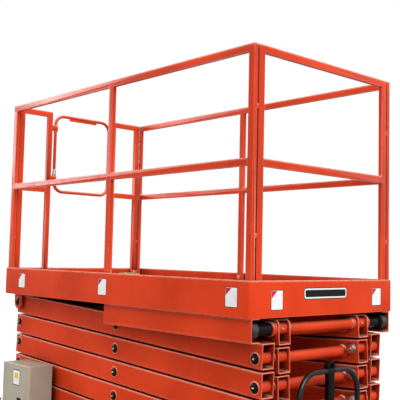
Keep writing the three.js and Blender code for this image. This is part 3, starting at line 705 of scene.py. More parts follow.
beads = bmesh.new()
for z in (loop_low, loop_high):
    for y in (-shaft_half - 1, shaft_half + 1):
        circle = [(bar_x + loop_radius * math.cos(a), y, z + loop_radius * math.sin(a))
                  for a in round_about(20)]
        swept(beads, circle, [3.2 if i % 2 else 2.6 for i in range(20)], 6, True)
for x in (bar_x - shaft_depth, bar_x + shaft_depth):
    weld_bead(beads, (x, -shaft_half + 3, eye_z - 24), (x, shaft_half - 3, eye_z - 24), 3.5)
make_piece("drawbar_weld_beads", beads, black_enamel, "drawbar")

hinge = bmesh.new()
for side, outward in both_sides:
    hex_nut(hinge, (bar_x, side * 42, pivot_z), outward, 19, 9, 3)
make_piece("drawbar_hinge_bolt", hinge, zinc_plate, "chassis", 0.4)


# ---- Rear ladder
# Two square tube stiles with four ribbed round rungs, bolted to the back of the chassis.
# The tube ends are closed with black plastic plugs.

low, high = box_mm("rear_ladder")
dress("rear_ladder", red_enamel, 2.0)
stile_y = 190
rung_x = low.x + 20
rung_pitch = 240
rung_rib = 12
bolt_levels = (425, 465)

ribs = bmesh.new()
plugs = bmesh.new()
bolts = bmesh.new()
for i in range(4):
    z = low.z + 20 + i * rung_pitch
    y = -stile_y + 26
    while y < stile_y - 24:
        turned(ribs, bar(0, 5, 15.2, 1, 2), (rung_x, y, z), "y", 16)
        y += rung_rib
    for y in (-stile_y + 13, stile_y - 13):
        turned(ribs, [(-2.5, 13), (0, 17), (2.5, 13)], (rung_x, y, z), "y", 20)
for side, outward in both_sides:
    y = side * stile_y
    for z, up in ((high.z, 1), (low.z, -1)):
        near, far = sorted((z - up * 2, z + up * 3))
        block(plugs, (rung_x - 19, y - 11.5, near), (rung_x + 19, y + 11.5, far))
    for z in bolt_levels:
        hex_nut(bolts, (rung_x, y + side * 12.5, z), outward, 13, 6, 2)
make_piece("ladder_rung_ribs", ribs, red_enamel, "chassis")
make_piece("ladder_end_plugs", plugs, tyre_rubber, "chassis", 1.5)
make_piece("ladder_bolts", bolts, zinc_plate, "chassis", 0.4)


# ---- Electric cabinet
# A folded sheet-steel box with its parts on a zinc plate inside, bolted onto the side beam.
# The door is a pressed tray on two pin hinges, with a foam seal and a quarter-turn lock.

low, high = box_mm("electric_cabinet")
door_low, door_high = box_mm("cabinet_door")
shell_fold = 14
lock_z = 680

door_face = door_low.y + 0.6
cabinet_enamel = sprayed_paint(
    "cabinet_enamel", (0.41, 0.37, 0.28), (0.66, 0.62, 0.54), (0.32, 0.25, 0.19),
    0.45, 0.2)
shell_enamel = sprayed_paint(
    "shell_enamel", (0.325, 0.285, 0.232), (0.58, 0.52, 0.45), (0.27, 0.20, 0.15),
    0.45, 0.16)

shell = bmesh.new()
box_flat = (low.x, door_low.z, high.x, door_high.z)
inner = inset(box_flat, 2, 3)
tube_wall(shell, inset(box_flat, 0, 5), inner, "y", low.y, high.y)
cut_plate(shell, inner, "y", high.y - 3, high.y - 0.5)
tube_wall(shell, inner, inset(box_flat, shell_fold, 3), "y", low.y + 0.5, low.y + 2.5)
for x in (low.x + 40, high.x - 90):
    block(shell, (x, low.y + 30, low.z + 0.3), (x + 50, high.y - 2, door_low.z + 1))
make_piece("cabinet_shell", shell, shell_enamel, "chassis", 0.6,
           stands_for=("electric_cabinet",))

rows = ((600, range(0, 200, 24), 21), (720, range(0, 190, 46), 40), (820, (10, 90, 150), 50))
back = high.y
board = bmesh.new()
switchgear = bmesh.new()
block(board, (low.x + 30, back - 12, door_low.z + 30), (high.x - 30, back - 9, door_high.z - 30))
for z, places, width in rows:
    block(board, (low.x + 50, back - 19, z - 17), (high.x - 50, back - 12, z + 17))
    for x in places:
        left = low.x + 60 + x
        block(switchgear, (left, back - 70, z - 32), (left + width, back - 17, z + 32))
        block(switchgear, (left + width * 0.2, back - 78, z - 10),
              (left + width * 0.8, back - 68, z + 14))
for x in (low.x + 40, high.x - 40):
    for z in (door_low.z + 40, door_high.z - 40):
        hex_nut(board, (x, back - 12, z), "-y", 10, 5, 2)
make_piece("cabinet_mounting_plate", board, zinc_plate, "chassis", 0.5)

make_piece("cabinet_switchgear", switchgear, black_enamel, "chassis", 1.5)

door = bmesh.new()
door_flat = (door_low.x, door_low.z, door_high.x, door_high.z)
loops = []
for by, radius, y in (
        (17.5, 3, door_face), (17, 3, door_face + 1.2), (13.5, 3, door_face + 1.2), (13, 3, door_face),
        (3, 4, door_face), (0, 5, door_low.y + 3), (0, 5, door_high.y - 1),
        (2, 3, door_high.y - 1), (2, 3, door_low.y + 3.5)):
    loops.append([placed(p, y, "y") for p in inset(door_flat, by, radius)])
rings(door, loops)
for z in (door_low.z + 90, door_high.z - 120):
    block(door, (door_low.x + 25, door_low.y + 3, z), (door_high.x - 25, door_low.y + 12, z + 22))
make_piece("cabinet_door_pressing", door, cabinet_enamel, "cabinet_door", 0.5,
           stands_for=("cabinet_door",))

seal = bmesh.new()
tube_wall(seal, inset(door_flat, 5, 4), inset(door_flat, 13, 3), "y", door_low.y + 3, door_high.y - 0.2)
make_piece("cabinet_door_seal", seal, tyre_rubber, "cabinet_door")

lock_x = door_high.x - 64
lock = bmesh.new()
outline = inset((lock_x - 83, lock_z - 36, lock_x - 27, lock_z - 14), 0, 6, 5)
cut_plate(lock, outline, "y", door_face - 0.5, door_low.y + 2.4)
make_piece("cabinet_lock_handle", lock, black_enamel, "cabinet_door", 0.4)
keyhole = bmesh.new()
turned(keyhole, [(-2, 13), (0.4, 13), (0.55, 11), (0.3, 10)], (lock_x, door_face + 0.1, lock_z), "-y", 24)
turned(keyhole, [(-14, 8), (0, 8)], (lock_x, door_low.y + 3, lock_z), "-y", 16)
block(keyhole, (lock_x - 3, door_high.y - 2, lock_z - 4), (lock_x + 3, door_high.y + 2, lock_z + 34))
make_piece("cabinet_lock_barrel", keyhole, zinc_plate, "cabinet_door", 0.2)

pins = bmesh.new()
for z in (door_low.z + 45, door_high.z - 75):
    foot = (door_low.x + 4.4, door_low.y + 4.4, z)
    turned(pins, bar(0, 30, 4.2, 1, 0.6), foot, "z", 14)
make_piece("cabinet_hinge_pins", pins, zinc_plate, "cabinet_door")


# ---- Hydraulic power unit
# A welded oil tank with an upright electric motor and a valve block on its lid, on the far side.
# The motor is a ribbed aluminium casting under a fan cover; tank and motor are sprayed black.

low, high = box_mm("hydraulic_unit")
tank_low, tank_top = 505, 685
motor_x = low.x + 86
middle_y = (low.y + high.y) / 2
valve_x = high.x - 110
rib_count = 28
gauge_z = 590

tank = bmesh.new()
rim_flat = (low.x, low.y, high.x, high.y - 1)
lid_flat = (low.x + 2, low.y + 2, high.x - 2, high.y - 2)
cut_plate(tank, inset(rim_flat, 0, 14, 5), "z", tank_low, tank_top - 8)
cut_plate(tank, inset(lid_flat, 0, 12, 5), "z", tank_top - 8, tank_top)
for x in (low.x + 30, high.x - 80):
    block(tank, (x, low.y + 2, low.z + 0.3), (x + 50, low.y + 44, tank_low + 2))
make_piece("oil_tank", tank, black_enamel, "chassis", 1.5, stands_for=("hydraulic_unit",))

motor = bmesh.new()
motor_foot = Vector((motor_x, middle_y, tank_top))
turned(motor, [(0, 74), (14, 74), (16, 60), (20, 54), (112, 54), (116, 56)], motor_foot, "z", 48)
for angle in round_about(rib_count):
    fin = block(motor, (53, -1.4, 22), (61, 1.4, 110))
    turn = Matrix.Translation(motor_foot) @ Matrix.Rotation(angle, 4, "Z")
    bmesh.ops.transform(motor, matrix=turn, verts=fin)
turned(motor, [(112, 60), (114, 62), (140, 62), (146, 58), (149, 46), (149, 40), (147, 38), (147, 6),
               (149, 5)], motor_foot, "z", 48)
block(motor, (motor_x - 34, middle_y + 48, tank_top + 48), (motor_x + 34, middle_y + 84, tank_top + 100))
make_piece("pump_motor", motor, black_enamel, "chassis", 0.8)

cast_aluminium = bare_metal("cast_aluminium", (0.62, 0.62, 0.61), 0.42)
valves = bmesh.new()
block(valves, (valve_x, middle_y - 40, tank_top), (valve_x + 76, middle_y + 40, tank_top + 88))
for dx, dy in ((20, 20), (56, 20), (20, -20)):
    turned(valves, [(0, 11), (6, 11), (6, 13), (30, 13), (32, 10), (44, 6)],
           (valve_x + dx, middle_y + dy, tank_top + 88), "z", 20)
for dz in (22, 46, 70):
    hex_nut(valves, (valve_x + 76, middle_y, tank_top + dz), "x", 17, 8)
    hex_nut(valves, (valve_x + 38, middle_y + 40, tank_top + dz), "y", 17, 8)
turned(valves, [(0, 15), (60, 15), (62, 17), (70, 17), (72, 12), (144, 12), (148, 8)],
       (valve_x + 56, middle_y - 22, tank_top + 1), "z", 24)
make_piece("valve_block", valves, cast_aluminium, "chassis", 0.8)

fittings = bmesh.new()
filler = (valve_x - 38, middle_y + 44, tank_top)
turned(fittings, [(0, 20), (5, 20), (6, 24), (22, 24), (26, 20)], filler, "z", 24)
for x in (low.x + 14, high.x - 14):
    for y in (low.y + 14, high.y - 14):
        hex_nut(fittings, (x, y, tank_top), "z", 10, 5)
turned(fittings, [(-3, 13), (0.5, 13), (0.8, 9)], (high.x - 44, high.y - 1, gauge_z), "y", 24)
for dz in (-26, 26):
    hex_nut(fittings, (low.x + 60, high.y - 6, gauge_z + dz), "y", 12, 5)
make_piece("tank_fittings", fittings, zinc_plate, "chassis", 0.4)


# ---- Scissor arms
# Five pairs of arms in rectangular hollow section. Each pin turns in a red bush welded through
# the tube; the pins have black end caps with brass grease nipples.

stages = 5
base_axle = sum(box_mm("base_roller_axle"), Vector()) / 2
top_axle = sum(box_mm("top_roller_axle"), Vector()) / 2
half_span = base_axle.x
base_z = base_axle.z
top_z = top_axle.z
stage_pitch = (top_z - base_z) / stages
pin_offset = 15.7
half_reach = math.hypot(half_span, stage_pitch / 2)
arm_slope = math.atan2(stage_pitch, 2 * half_span) - math.asin(pin_offset / half_reach)
pin_x = math.sqrt(half_reach ** 2 - pin_offset ** 2)
arm_end = pin_x + 46
arm_half_height = 65
arm_half_width = 45
arm_wall = 6
arm_corner = 3
chamfer = pin_x + 55 * math.sqrt(2) + pin_offset
inner_arm_y = 335
outer_arm_y = 454.4
bush_radius = 31
pin_radius = 22.5
pipe_radius = 30
pipe_x = pin_x - 65


def arm_frame(kind, stage):
    """Where an arm's own drawing, laid level round its centre pin, sits when folded."""
    tilt = -arm_slope if kind == "inner" else arm_slope
    level = base_z + (stage - 0.5) * stage_pitch
    return Matrix.Translation((0, 0, level)) @ Matrix.Rotation(tilt, 4, "Y")


def arm_ends(kind, stage, z):
    """How far the tube reaches to the rear and the front at one height, where the last ends are cut."""
    reach = [arm_end, arm_end]
    outer = kind == "outer"
    if stage == 1:
        reach[outer] = min(arm_end, chamfer + z)
    if stage == stages:
        reach[not outer] = min(arm_end, chamfer - z)
    return -reach[0], reach[1]


def arm_section(half_width, half_height, radius):
    """The outline of the hollow section, with a joint line where the end cut starts."""
    kink = arm_end - chamfer
    outline = []
    corners = inset((-half_width, -half_height, half_width, half_height), 0, radius, 3)
    for (y, z), following in zip(corners, corners[1:] + corners[:1]):
        next_z = following[1]
        outline.append((y, z))
        if abs(next_z - z) > 40:
            outline += [(y, level) for level in sorted((kink, -kink), reverse=next_z < z)]
    return outline


outside = arm_section(arm_half_width, arm_half_height, arm_corner)
inside = arm_section(arm_half_width - arm_wall, arm_half_height - arm_wall, 1)

for stage in range(1, stages + 1):
    for kind, arm_y in (("outer", outer_arm_y), ("inner", inner_arm_y)):
        for side, hand in ((-1, "left"), (1, "right")):
            name = hand + "_" + kind + "_arm_" + str(stage)
            arm = bmesh.new()
            loops = []
            for outline, end in ((outside, 0), (outside, 1), (inside, 1), (inside, 0)):
                loops.append([(arm_ends(kind, stage, z)[end], side * arm_y + y, z) for y, z in outline])
            rings(arm, loops, closed=True)
            arm.transform(arm_frame(kind, stage))
            stands_for = (name,)
            if kind == "inner":
                stands_for = ("inner_frame_" + str(stage),) if side < 0 else ()
            make_piece(name + "_tube", arm, red_enamel, kind + "_" + str(stage), 1.2, stands_for, 50)

brass = bare_metal("brass", (0.80, 0.58, 0.24), 0.25)
red_ring = [(0, 35), (2.5, 35), (4.5, 33), (5, 30), (4, 28), (0, 27.5)]
end_cap = [(0, 27), (2.5, 27), (5, 25), (7.5, 19), (9, 11), (9.4, 4)]

nipple = [(7, 5), (10, 5), (10.5, 2.6), (13, 2.6), (14, 4), (16, 3.2), (17, 1.5)]
end_nipple = [(0, 5), (4, 5), (5, 3), (8, 3), (10, 4.5), (12, 3)]
pipe_weld = [(0, pipe_radius + 6.5), (2.5, pipe_radius + 5.5 * math.cos(0.8) + 1),
             (6, pipe_radius + 5.5 * math.cos(1.57) + 0.5)]
end_rings = ([(0, pin_radius), (29.2, pin_radius)], [(0.2, 30), (4, 30), (5, 27)],
             [(24, 27), (25, 30), (29, 30)])
bush_half = 44
cross_tube = 291
rod_pin = Vector((-478, 0, -75))
barrel_pin = Vector((520, 0, 0))
lever_pipe = Vector((-400, 0, 20))
lever_radius = 34


def rod_lever(steps=12):
    """The outline of the lever plate from its cross pipe to the rod's pin."""
    link = rod_pin - lever_pipe
    outline = []
    for middle, start in ((lever_pipe, 0.5), (rod_pin, -0.5)):
        for i in range(steps + 1):
            a = math.atan2(link.z, link.x) + math.pi * (start + i / steps)
            outline.append((middle.x + lever_radius * math.cos(a),
                            middle.z + lever_radius * math.sin(a)))
    return outline


for stage in range(1, stages + 1):
    for kind, middle_y in (("outer", outer_arm_y), ("inner", inner_arm_y)):
        rise = -1 if kind == "outer" else 1
        bushes = bmesh.new()
        caps = bmesh.new()
        nipples = bmesh.new()
        nuts = bmesh.new()
        for side, outward in both_sides:
            inward = "y" if outward == "-y" else "-y"
            face = side * (middle_y + arm_half_width)
            back = side * (middle_y - arm_half_width)
            for end in (-1, 0, 1):
                x, z = end * pin_x, end * rise * pin_offset
                bush = [(-bush_half, bush_radius), (bush_half, bush_radius)]
                turned(bushes, bush, (x, side * middle_y, z), "y", 32)
                at_axle = (stage, end) in ((1, -1), (stages, 1))
                covered = (stage, end) in ((stages, -1), (1, 1))
                if kind == "outer" and not covered:
                    turned(bushes, red_ring, (x, face, z), outward, 40, True)
                    turned(caps, end_cap, (x, face + side * 1.2, z), outward, 36)
                    turned(nipples, nipple, (x, face + side * 2.8, z), outward, 12)
                elif kind == "inner" and not at_axle:
                    for profile in end_rings:
                        turned(bushes, profile, (x, face, z), outward, 28)
                    hex_nut(nuts, (x, back, z), inward, 46, 20, 7)
                elif kind == "inner":
                    boss = 4.4 if stage == 1 else 27
                    turned(bushes, [(0.2, 40), (boss, 40), (boss + 0.4, 38)], (x, face, z), outward, 32)
                    turned(nuts, end_nipple, (x + end * (bush_radius - 1), side * middle_y, z),
                           "x" if end > 0 else "-x", 12)
            if kind == "inner":
                for x in (-pipe_x, pipe_x):
                    turned(bushes, pipe_weld, (x, back, 0), inward, 32)
        pipes = []
        if kind == "inner":
            pipes = [(Vector((x, 0, 0)), inner_arm_y - bush_half) for x in (-pipe_x, pipe_x)]
        if kind == "inner" and stage % 2 == 0:
            pipes.append((lever_pipe, cross_tube))
            for y in (-49, 33):
                cut_plate(bushes, rod_lever(), "y", y, y + 16)
        elif kind == "inner" and stage < stages:
            pipes.append((barrel_pin, cross_tube))
            for y in (-52, 52):
                turned(bushes, bar(-4, 4, 38, 1, 2), (barrel_pin.x, y, 0), "y", 32)
        for middle, half in pipes:
            turned(bushes, [(-half, pipe_radius), (half, pipe_radius)], middle, "y", 36)
        for mesh, label, finish in ((bushes, "_bushes", red_enamel), (caps, "_pin_caps", black_enamel),
                                    (nipples, "_grease_nipples", brass), (nuts, "_pin_nuts", zinc_plate)):
            if len(mesh.verts) == 0:
                mesh.free()
                continue
            mesh.transform(arm_frame(kind, stage))
            make_piece(kind + "_stage_" + str(stage) + label, mesh, finish, kind + "_" + str(stage), 0.5)

# Rod-eye pins of frames 2 and 4, with their retaining plates.
for stage in (2, 4):
    eye_pin = bmesh.new()
    turned(eye_pin, bar(-56, 56, 16, 2, 2), rod_pin, "y", 24)
    for side, outward in both_sides:
        hex_nut(eye_pin, (rod_pin.x, side * 49, rod_pin.z), outward, 36, 9)
    eye_pin.transform(arm_frame("inner", stage))
    make_piece("rod_eye_pin_" + str(stage), eye_pin, zinc_plate, "inner_" + str(stage), 0.4)


# ---- Roller axles
# A through shaft at each sliding end with a steel roller running in the track on either side.
# A red tube spaces the arms; black spacers and turned, hardened rollers are outside them.

roller_outer = 572
roller_inner = 527

roller_steel = bare_metal(
    "roller_steel", (0.09, 0.09, 0.095), 0.34, (1, 6, 1), (0.05, 0.04, 0.035))

axle_half = 528
spacer_half = 289
collar_profile = bar(roller_inner - 13, roller_inner - 1, 42, 2, 2)
roller_profile = [(roller_inner, 46), (roller_inner + 3, 50),
                  (roller_inner + 10, 50), (roller_outer - 3, 50),
                  (roller_outer - 1, 47), (roller_outer - 1, 36), (roller_outer - 5, 34),
                  (roller_outer - 5, 27), (roller_outer, 25), (roller_outer, 10)]

for name, body, middle_z, arm_face in (("base", "outer_1", base_z, outer_arm_y + arm_half_width + 4.4),
                                       ("top", "inner_5", top_z, inner_arm_y + arm_half_width + 27)):
    node = name + "_roller_axle"
    middle = (half_span, 0, middle_z)
    rollers = bmesh.new()
    shaft = bmesh.new()
    spacer = bmesh.new()
    turned(shaft, [(-axle_half, pin_radius), (axle_half, pin_radius)], middle, "y", 32)
    turned(spacer, [(-spacer_half, 28), (spacer_half, 28)], middle, "y", 36)
    sleeve = bar(arm_face + 3, roller_inner - 15, 33, 1, 3)
    for side, outward in both_sides:
        turned(rollers, roller_profile, middle, outward, 56)
        turned(shaft, sleeve, middle, outward, 36)
        turned(shaft, collar_profile, middle, outward, 36)
        turned(spacer, [(270, 28), (272, 31), (288, 33), (289.5, 33)], middle, outward, 36)
    make_piece(node + "_rollers", rollers, roller_steel, body, stands_for=(node,))
    make_piece(node + "_shaft", shaft, black_enamel, body, 0.5)
    if name == "top":
        make_piece("top_axle_spacer_tube", spacer, red_enamel, body)
    else:
        spacer.free()


# ---- Lift cylinders
# Two single-acting hydraulic cylinders, one above the other: honed tube barrels painted black
# and hard chromed rods, with a screwed gland and a port boss at the mouth.

barrel_length = 850

hard_chrome = bare_metal(
    "hard_chrome", (0.74, 0.75, 0.77), 0.12, (0.2, 6, 1), (0.55, 0.55, 0.56))

for name, stage in (("lower", 1), ("upper", 3)):
    start = arm_frame("inner", stage) @ barrel_pin
    along = arm_frame("inner", stage + 1) @ rod_pin - start
    reach = along.length
    tilt = math.atan2(along.z, along.x)
    where = Matrix.Translation(start) @ Matrix.Rotation(-tilt, 4, "Y")
    barrel = bmesh.new()
    turned(barrel, [(44, 30), (50, 45), (barrel_length - 64, 45), (barrel_length - 62, 51),
                    (barrel_length - 4, 51), (barrel_length, 48), (barrel_length, 34),
                    (barrel_length - 3, 32), (barrel_length - 3, 25.6), (barrel_length - 40, 25.6)],
           (0, 0, 0), "x", 48)
    turned(barrel, bar(-44, 44, 54, 2, 2, 31), (0, 0, 0), "y", 40, True)
    for z, spot in ((44, 100), (49, barrel_length - 30)):
        turned(barrel, [(0, 13), (10, 13), (11, 9)], (spot, 0, z), "z", 20)
    for i in range(6):
        spanner_hole = (barrel_length - 18, 51 * math.cos(i), 51 * math.sin(i))
        turned(barrel, [(0, 4), (2, 4)], spanner_hole, "x", 8)
    barrel.transform(where)
    make_piece(name + "_barrel_tube", barrel, black_enamel, name + "_barrel", 0.6,
               stands_for=(name + "_cylinder_barrel",))
    rod = bmesh.new()
    turned(rod, [(410, 20), (415, 25), (reach - 28, 25)], (0, 0, 0), "x", 40)
    rod.transform(where)
    make_piece(name + "_rod_bar", rod, hard_chrome, name + "_rod",
               stands_for=(name + "_cylinder_rod",))
    eye = bmesh.new()
    turned(eye, bar(-25, 25, 34, 2, 2, 17), (reach, 0, 0), "y", 36, True)
    neck = [(reach - 62, 25), (reach - 60, 29), (reach - 34, 29), (reach - 28, 26)]
    turned(eye, neck, (0, 0, 0), "x", 32)
    eye.transform(where)
    make_piece(name + "_rod_eye", eye, black_enamel, name + "_rod", 0.5)


# ---- Platform
# A folded steel skirt with bent corners round a sheet floor, on rectangular cross beams.
# The upper roller tracks hang under its sides and two rear lugs carry the fixed pins.

low, high = box_mm("deck")
plate_low, plate_high = box_mm("floor_plate")
skirt_low = 1332.5
sheet_steel = 5
skirt_bend = 17
floor_z = plate_low.z - 0.3
beam_head = floor_z - 5.5
track_rear, track_front = -13.85, 1227
side_beam_end = 1225
beam_foot = 1350.5
track_inner, track_outer = 523, 583
track_low = skirt_low - 122
cross_places = (-1176, -588, 0, 588, 1176)
lug_inner, lug_outer = 509.4, 525.4
lug_half = 50

skirt = bmesh.new()
deck_flat = (low.x, low.y, high.x, high.y)
inner = inset(deck_flat, sheet_steel, skirt_bend - sheet_steel, 8)
tube_wall(skirt, inset(deck_flat, 0, skirt_bend, 8), inner, "z", skirt_low, high.z)
make_piece("deck_skirt", skirt, red_enamel, "deck", 1.5, stands_for=("deck",), steps=3)

under = bmesh.new()
cut_plate(under, inner, "z", floor_z - sheet_steel, floor_z)
for x in cross_places:
    block(under, (x - 30, -track_inner + 0.5, beam_foot), (x + 30, track_inner - 0.5, beam_head))
for side in (-1, 1):
    near, far = side_span(side, track_inner, track_outer)
    block(under, (-side_beam_end, near, skirt_low + 0.5), (side_beam_end, far, beam_head))
hanger_rear = low.x + 19
hanger_front = hanger_rear + 300
for x, half, z in ((hanger_rear, 399, track_low + 15), (hanger_front, 399, track_low + 25),
                   (hanger_front, 283, track_low - 15)):
    block(under, (x - 3, -half, z), (x + 3, half, beam_head))
make_piece("deck_floor_and_beams", under, red_enamel, "deck", 2.0)

tracks = bmesh.new()
for side in (-1, 1):
    face, lip, web = side * track_outer, side * track_inner, side * (track_outer - track_wall)
    top, foot = skirt_low - track_wall, track_low + track_wall
    section = [(face, track_low), (face, skirt_low), (lip, skirt_low), (lip, top),
               (web, top), (web, foot), (lip, foot), (lip, track_low)]
    cut_plate(tracks, section, "x", track_rear, track_front)
make_piece("deck_roller_tracks", tracks, red_enamel, "deck", 2.0)

lug_x = -1176
lugs = bmesh.new()
lug_pins = bmesh.new()
for side, outward in both_sides:
    outline = [(lug_x - lug_half, skirt_low + 38), (lug_x + lug_half, skirt_low + 38)]
    for i in range(17):
        angle = -math.pi * i / 16
        outline.append((lug_x + lug_half * math.cos(angle), top_z + lug_half * math.sin(angle)))
    cut_plate(lugs, outline, "y", *side_span(side, lug_inner, lug_outer))
    turned(lugs, red_ring, (lug_x, side * lug_outer, top_z), outward, 40, True)
    turned(lug_pins, end_cap, (lug_x, side * (lug_outer + 1.2), top_z), outward, 36)
    turned(lug_pins, [(0, 22.4), (98, 22.4)], (lug_x, side * (lug_outer - 100), top_z), outward, 28)
make_piece("deck_rear_lugs", lugs, red_enamel, "deck", 1.5)
make_piece("deck_rear_pins", lug_pins, black_enamel, "deck", 0.5)

welds = bmesh.new()
for side in (-1, 1):
    for x in cross_places:
        for edge_x in (x - 30, x + 30):
            weld_bead(welds, (edge_x, side * track_inner, 1354), (edge_x, side * track_inner, 1408), 4)
            for y in range(-440, 480, 220):
                weld_bead(welds, (edge_x, y, 1413), (edge_x, y + 60, 1413), 3.5)
    y, z = side * track_outer, skirt_low + 0.5
    for x in range(0, 1180, 150):
        weld_bead(welds, (x, y, z), (x + 60, y, z), 3.5)
    for x in (lug_x - lug_half, lug_x + lug_half):
        weld_bead(welds, (x, side * lug_inner, 1334), (x, side * lug_inner, 1350), 3.5)
for x in (low.x + 7, high.x - 7):
    for y in range(-520, 500, 160):
        weld_bead(welds, (x, y, floor_z + 1), (x, y + 70, floor_z + 1), 3.5)
make_piece("deck_weld_beads", welds, red_enamel, "deck")


# ---- Chequered floor plate
# Rolled steel plate with raised lozenges in alternate directions, screwed down inside the skirt.
# It is cut away in one corner round the control box.

lozenge_pitch = 34
lozenge_length = 22
lozenge_width = 8
lozenge_height = 1.6
box_low, box_high = box_mm("platform_control_box")
cut_gap = 5


def rolled_plate(name):
    """Galvanised plate: bright on the worn tops, duller and dirtier between."""
    finish, tree, shader, place = start_finish(name)
    skin = clouded(tree, place, (0.30, 0.31, 0.32), (0.44, 0.45, 0.46), 5.0, 0.35, 0.65, 4.0)
    skin = clouded(tree, place, skin, (0.16, 0.13, 0.11), 2.2, 0.46, 0.70, 6.0, 0.30, (0.5, 1, 1))
    skin = rub(tree, place, skin, 0.002, (0.66, 0.67, 0.68))
    lay_on(tree, shader, skin, mottle(tree, place, 90, 4.0, (1, 3, 1)), (0.34, 0.58), 0.15)
    shader.inputs["Metallic"].default_value = 0.9
    return finish


tread_steel = rolled_plate("tread_steel")
tread = bmesh.new()
outline = [(plate_low.x, plate_low.y), (plate_high.x, plate_low.y), (plate_high.x, plate_high.y),
           (plate_low.x, plate_high.y)]
hole_low, hole_high = box_low - Vector((cut_gap,) * 3), box_high + Vector((cut_gap,) * 3)
hole = [(hole_low.x, hole_low.y), (hole_high.x, hole_low.y), (hole_high.x, hole_high.y),
        (hole_low.x, hole_high.y)]
tube_wall(tread, outline, hole, "z", plate_low.z, plate_high.z)


def lozenge(mesh, at, angle):
    """Adds one raised lozenge with a flat crest."""
    along = Vector((math.cos(angle), math.sin(angle), 0))
    across = Vector((-along.y, along.x, 0))
    loops = []
    for long, wide, lift in ((0.5, 0.5, 0), (0.3, 0.25, lozenge_height)):
        steps = (along * lozenge_length * long, across * lozenge_width * wide)
        loops.append([at + Vector((0, 0, lift)) + step for step in (*steps, -steps[0], -steps[1])])
    rings(mesh, loops)


row = 0
x = plate_low.x + 18
while x < plate_high.x - 12:
    column = 0
    y = plate_low.y + 16
    while y < plate_high.y - 10:
        if not (hole_low.x - 14 < x < hole_high.x + 14 and hole_low.y - 14 < y < hole_high.y + 14):
            angle = math.radians(45 if (row + column) % 2 else -45)
            lozenge(tread, Vector((x, y, plate_high.z - 0.05)), angle)
        y += lozenge_pitch * 0.72
        column += 1
    x += lozenge_pitch * 0.72
    row += 1
make_piece("chequered_plate", tread, tread_steel, "deck", stands_for=("floor_plate",))

screws = bmesh.new()
screw_y = 535
beside_box = -800
for x in range(-1150, 1151, 460):
    for y in (-screw_y, screw_y):
        if y < 0 or x > beside_box:
            turned(screws, [(-1, 8), (1.2, 8), (2.4, 5), (2.6, 2)], (x, y, plate_high.z), "z", 16)
make_piece("floor_plate_screws", screws, zinc_plate, "deck")


# ---- Guard rails
# Welded panels of rectangular tube, mitred at the corners, standing inside the skirt.
# Each post is held by a bolted foot tab, and clamps join the panels at the corners.

rail_nodes = ("left_guard_rail", "right_guard_rail", "front_guard_rail",
              "rear_left_guard_rail", "rear_right_guard_rail")
tube_face = 40
tube_depth = 25
mid_rail_low = 2086.5

# Rail paint with painted shade in the gaps, and a painted highlight along its edges and upper edges.
rail_enamel = sprayed_paint(
    "rail_enamel", (0.71, 0.050, 0.010), (0.90, 0.29, 0.21), (0.62, 0.07, 0.02), 0.18, 0.14,
    0.005, 0.22, 0.016, (0.09, 0.007, 0.002))
for node in rail_nodes:
    dress(node, rail_enamel, 3.0)

foot_low, foot_high = floor_z + 40, floor_z + 84
gateway_half = 276

rail_welds = bmesh.new()
foot_tabs = bmesh.new()
foot_bolts = bmesh.new()
for node in rail_nodes:
    low, high = box_mm(node)
    along_x = high.x - low.x > high.y - low.y
    start, stop = (low.x, high.x) if along_x else (low.y, high.y)
    across = (low.y + high.y) / 2 if along_x else (low.x + high.x) / 2
    half = tube_face / 2
    posts = [start + half, 0, stop - half] if along_x else [start + half, stop - half]
    if node == "rear_left_guard_rail":
        posts = [start + half, -gateway_half - half]

    def lie(along, over, z):
        """A point of this panel, given along it and across it."""
        return (along, over, z) if along_x else (over, along, z)

    for post in posts:
        joints = [post - half] if post - start > 25 else []
        if stop - post > 25 and not (node == "rear_left_guard_rail" and post > -400):
            joints.append(post + half)
        for joint in joints:
            for face in (-1, 1):
                depth = across + face * (tube_depth / 2 - 2)
                for z in (mid_rail_low, mid_rail_low + tube_face):
                    weld_bead(rail_welds, lie(joint, depth, z), lie(joint, across, z), 2.6)
                depth = across + face * (tube_depth / 2 + 0.1)
                weld_bead(rail_welds, lie(joint, depth, mid_rail_low + 2),
                          lie(joint, depth, mid_rail_low + tube_face - 2), 1.3)
        inside_face = across - math.copysign(tube_depth / 2, across)
        foot_end = inside_face - math.copysign(8, across)
        near, far = sorted((inside_face, foot_end))
        block(foot_tabs, lie(post - 16, near, foot_low), lie(post + 16, far, foot_high))
        axis = ("-" if across > 0 else "") + ("y" if along_x else "x")
        hex_nut(foot_bolts, lie(post, foot_end, foot_low + 24), axis, 17, 8, 3)
make_piece("guard_rail_weld_beads", rail_welds, red_enamel, "deck")
make_piece("guard_rail_foot_tabs", foot_tabs, red_enamel, "deck", 1.5)
make_piece("guard_rail_foot_bolts", foot_bolts, red_enamel, "deck", 0.4)

clamps = bmesh.new()
corner_x = 1198
corner_y = 563
for z in (floor_z + 320, mid_rail_low + 300):
    for end in (-1, 1):
        for side in (-1, 1):
            rear, front = side_span(end, corner_x, corner_x + 24)
            near, far = side_span(side, corner_y, corner_y - 12)
            block(clamps, (rear, near, z - 12), (front, far, z + 12))
make_piece("guard_rail_corner_spacers", clamps, red_enamel, "deck", 1.0)


# ---- Gate
# A bent loop of round tube that swings inwards on two sleeves, pulled shut by a coil spring.
# A flat steel strip welded across its top tube is the hand grip and the latch stop.

low, high = box_mm("gate")
gate_x = (low.x + high.x) / 2
gate_radius = 12
gate_bend = 75
hinge_y = low.y + gate_radius
latch_y = high.y - gate_radius
gate_low_z = low.z + gate_radius
gate_high_z = high.z - gate_radius
strip_half = 125
knuckle_places = (2197.5, 2584.5)

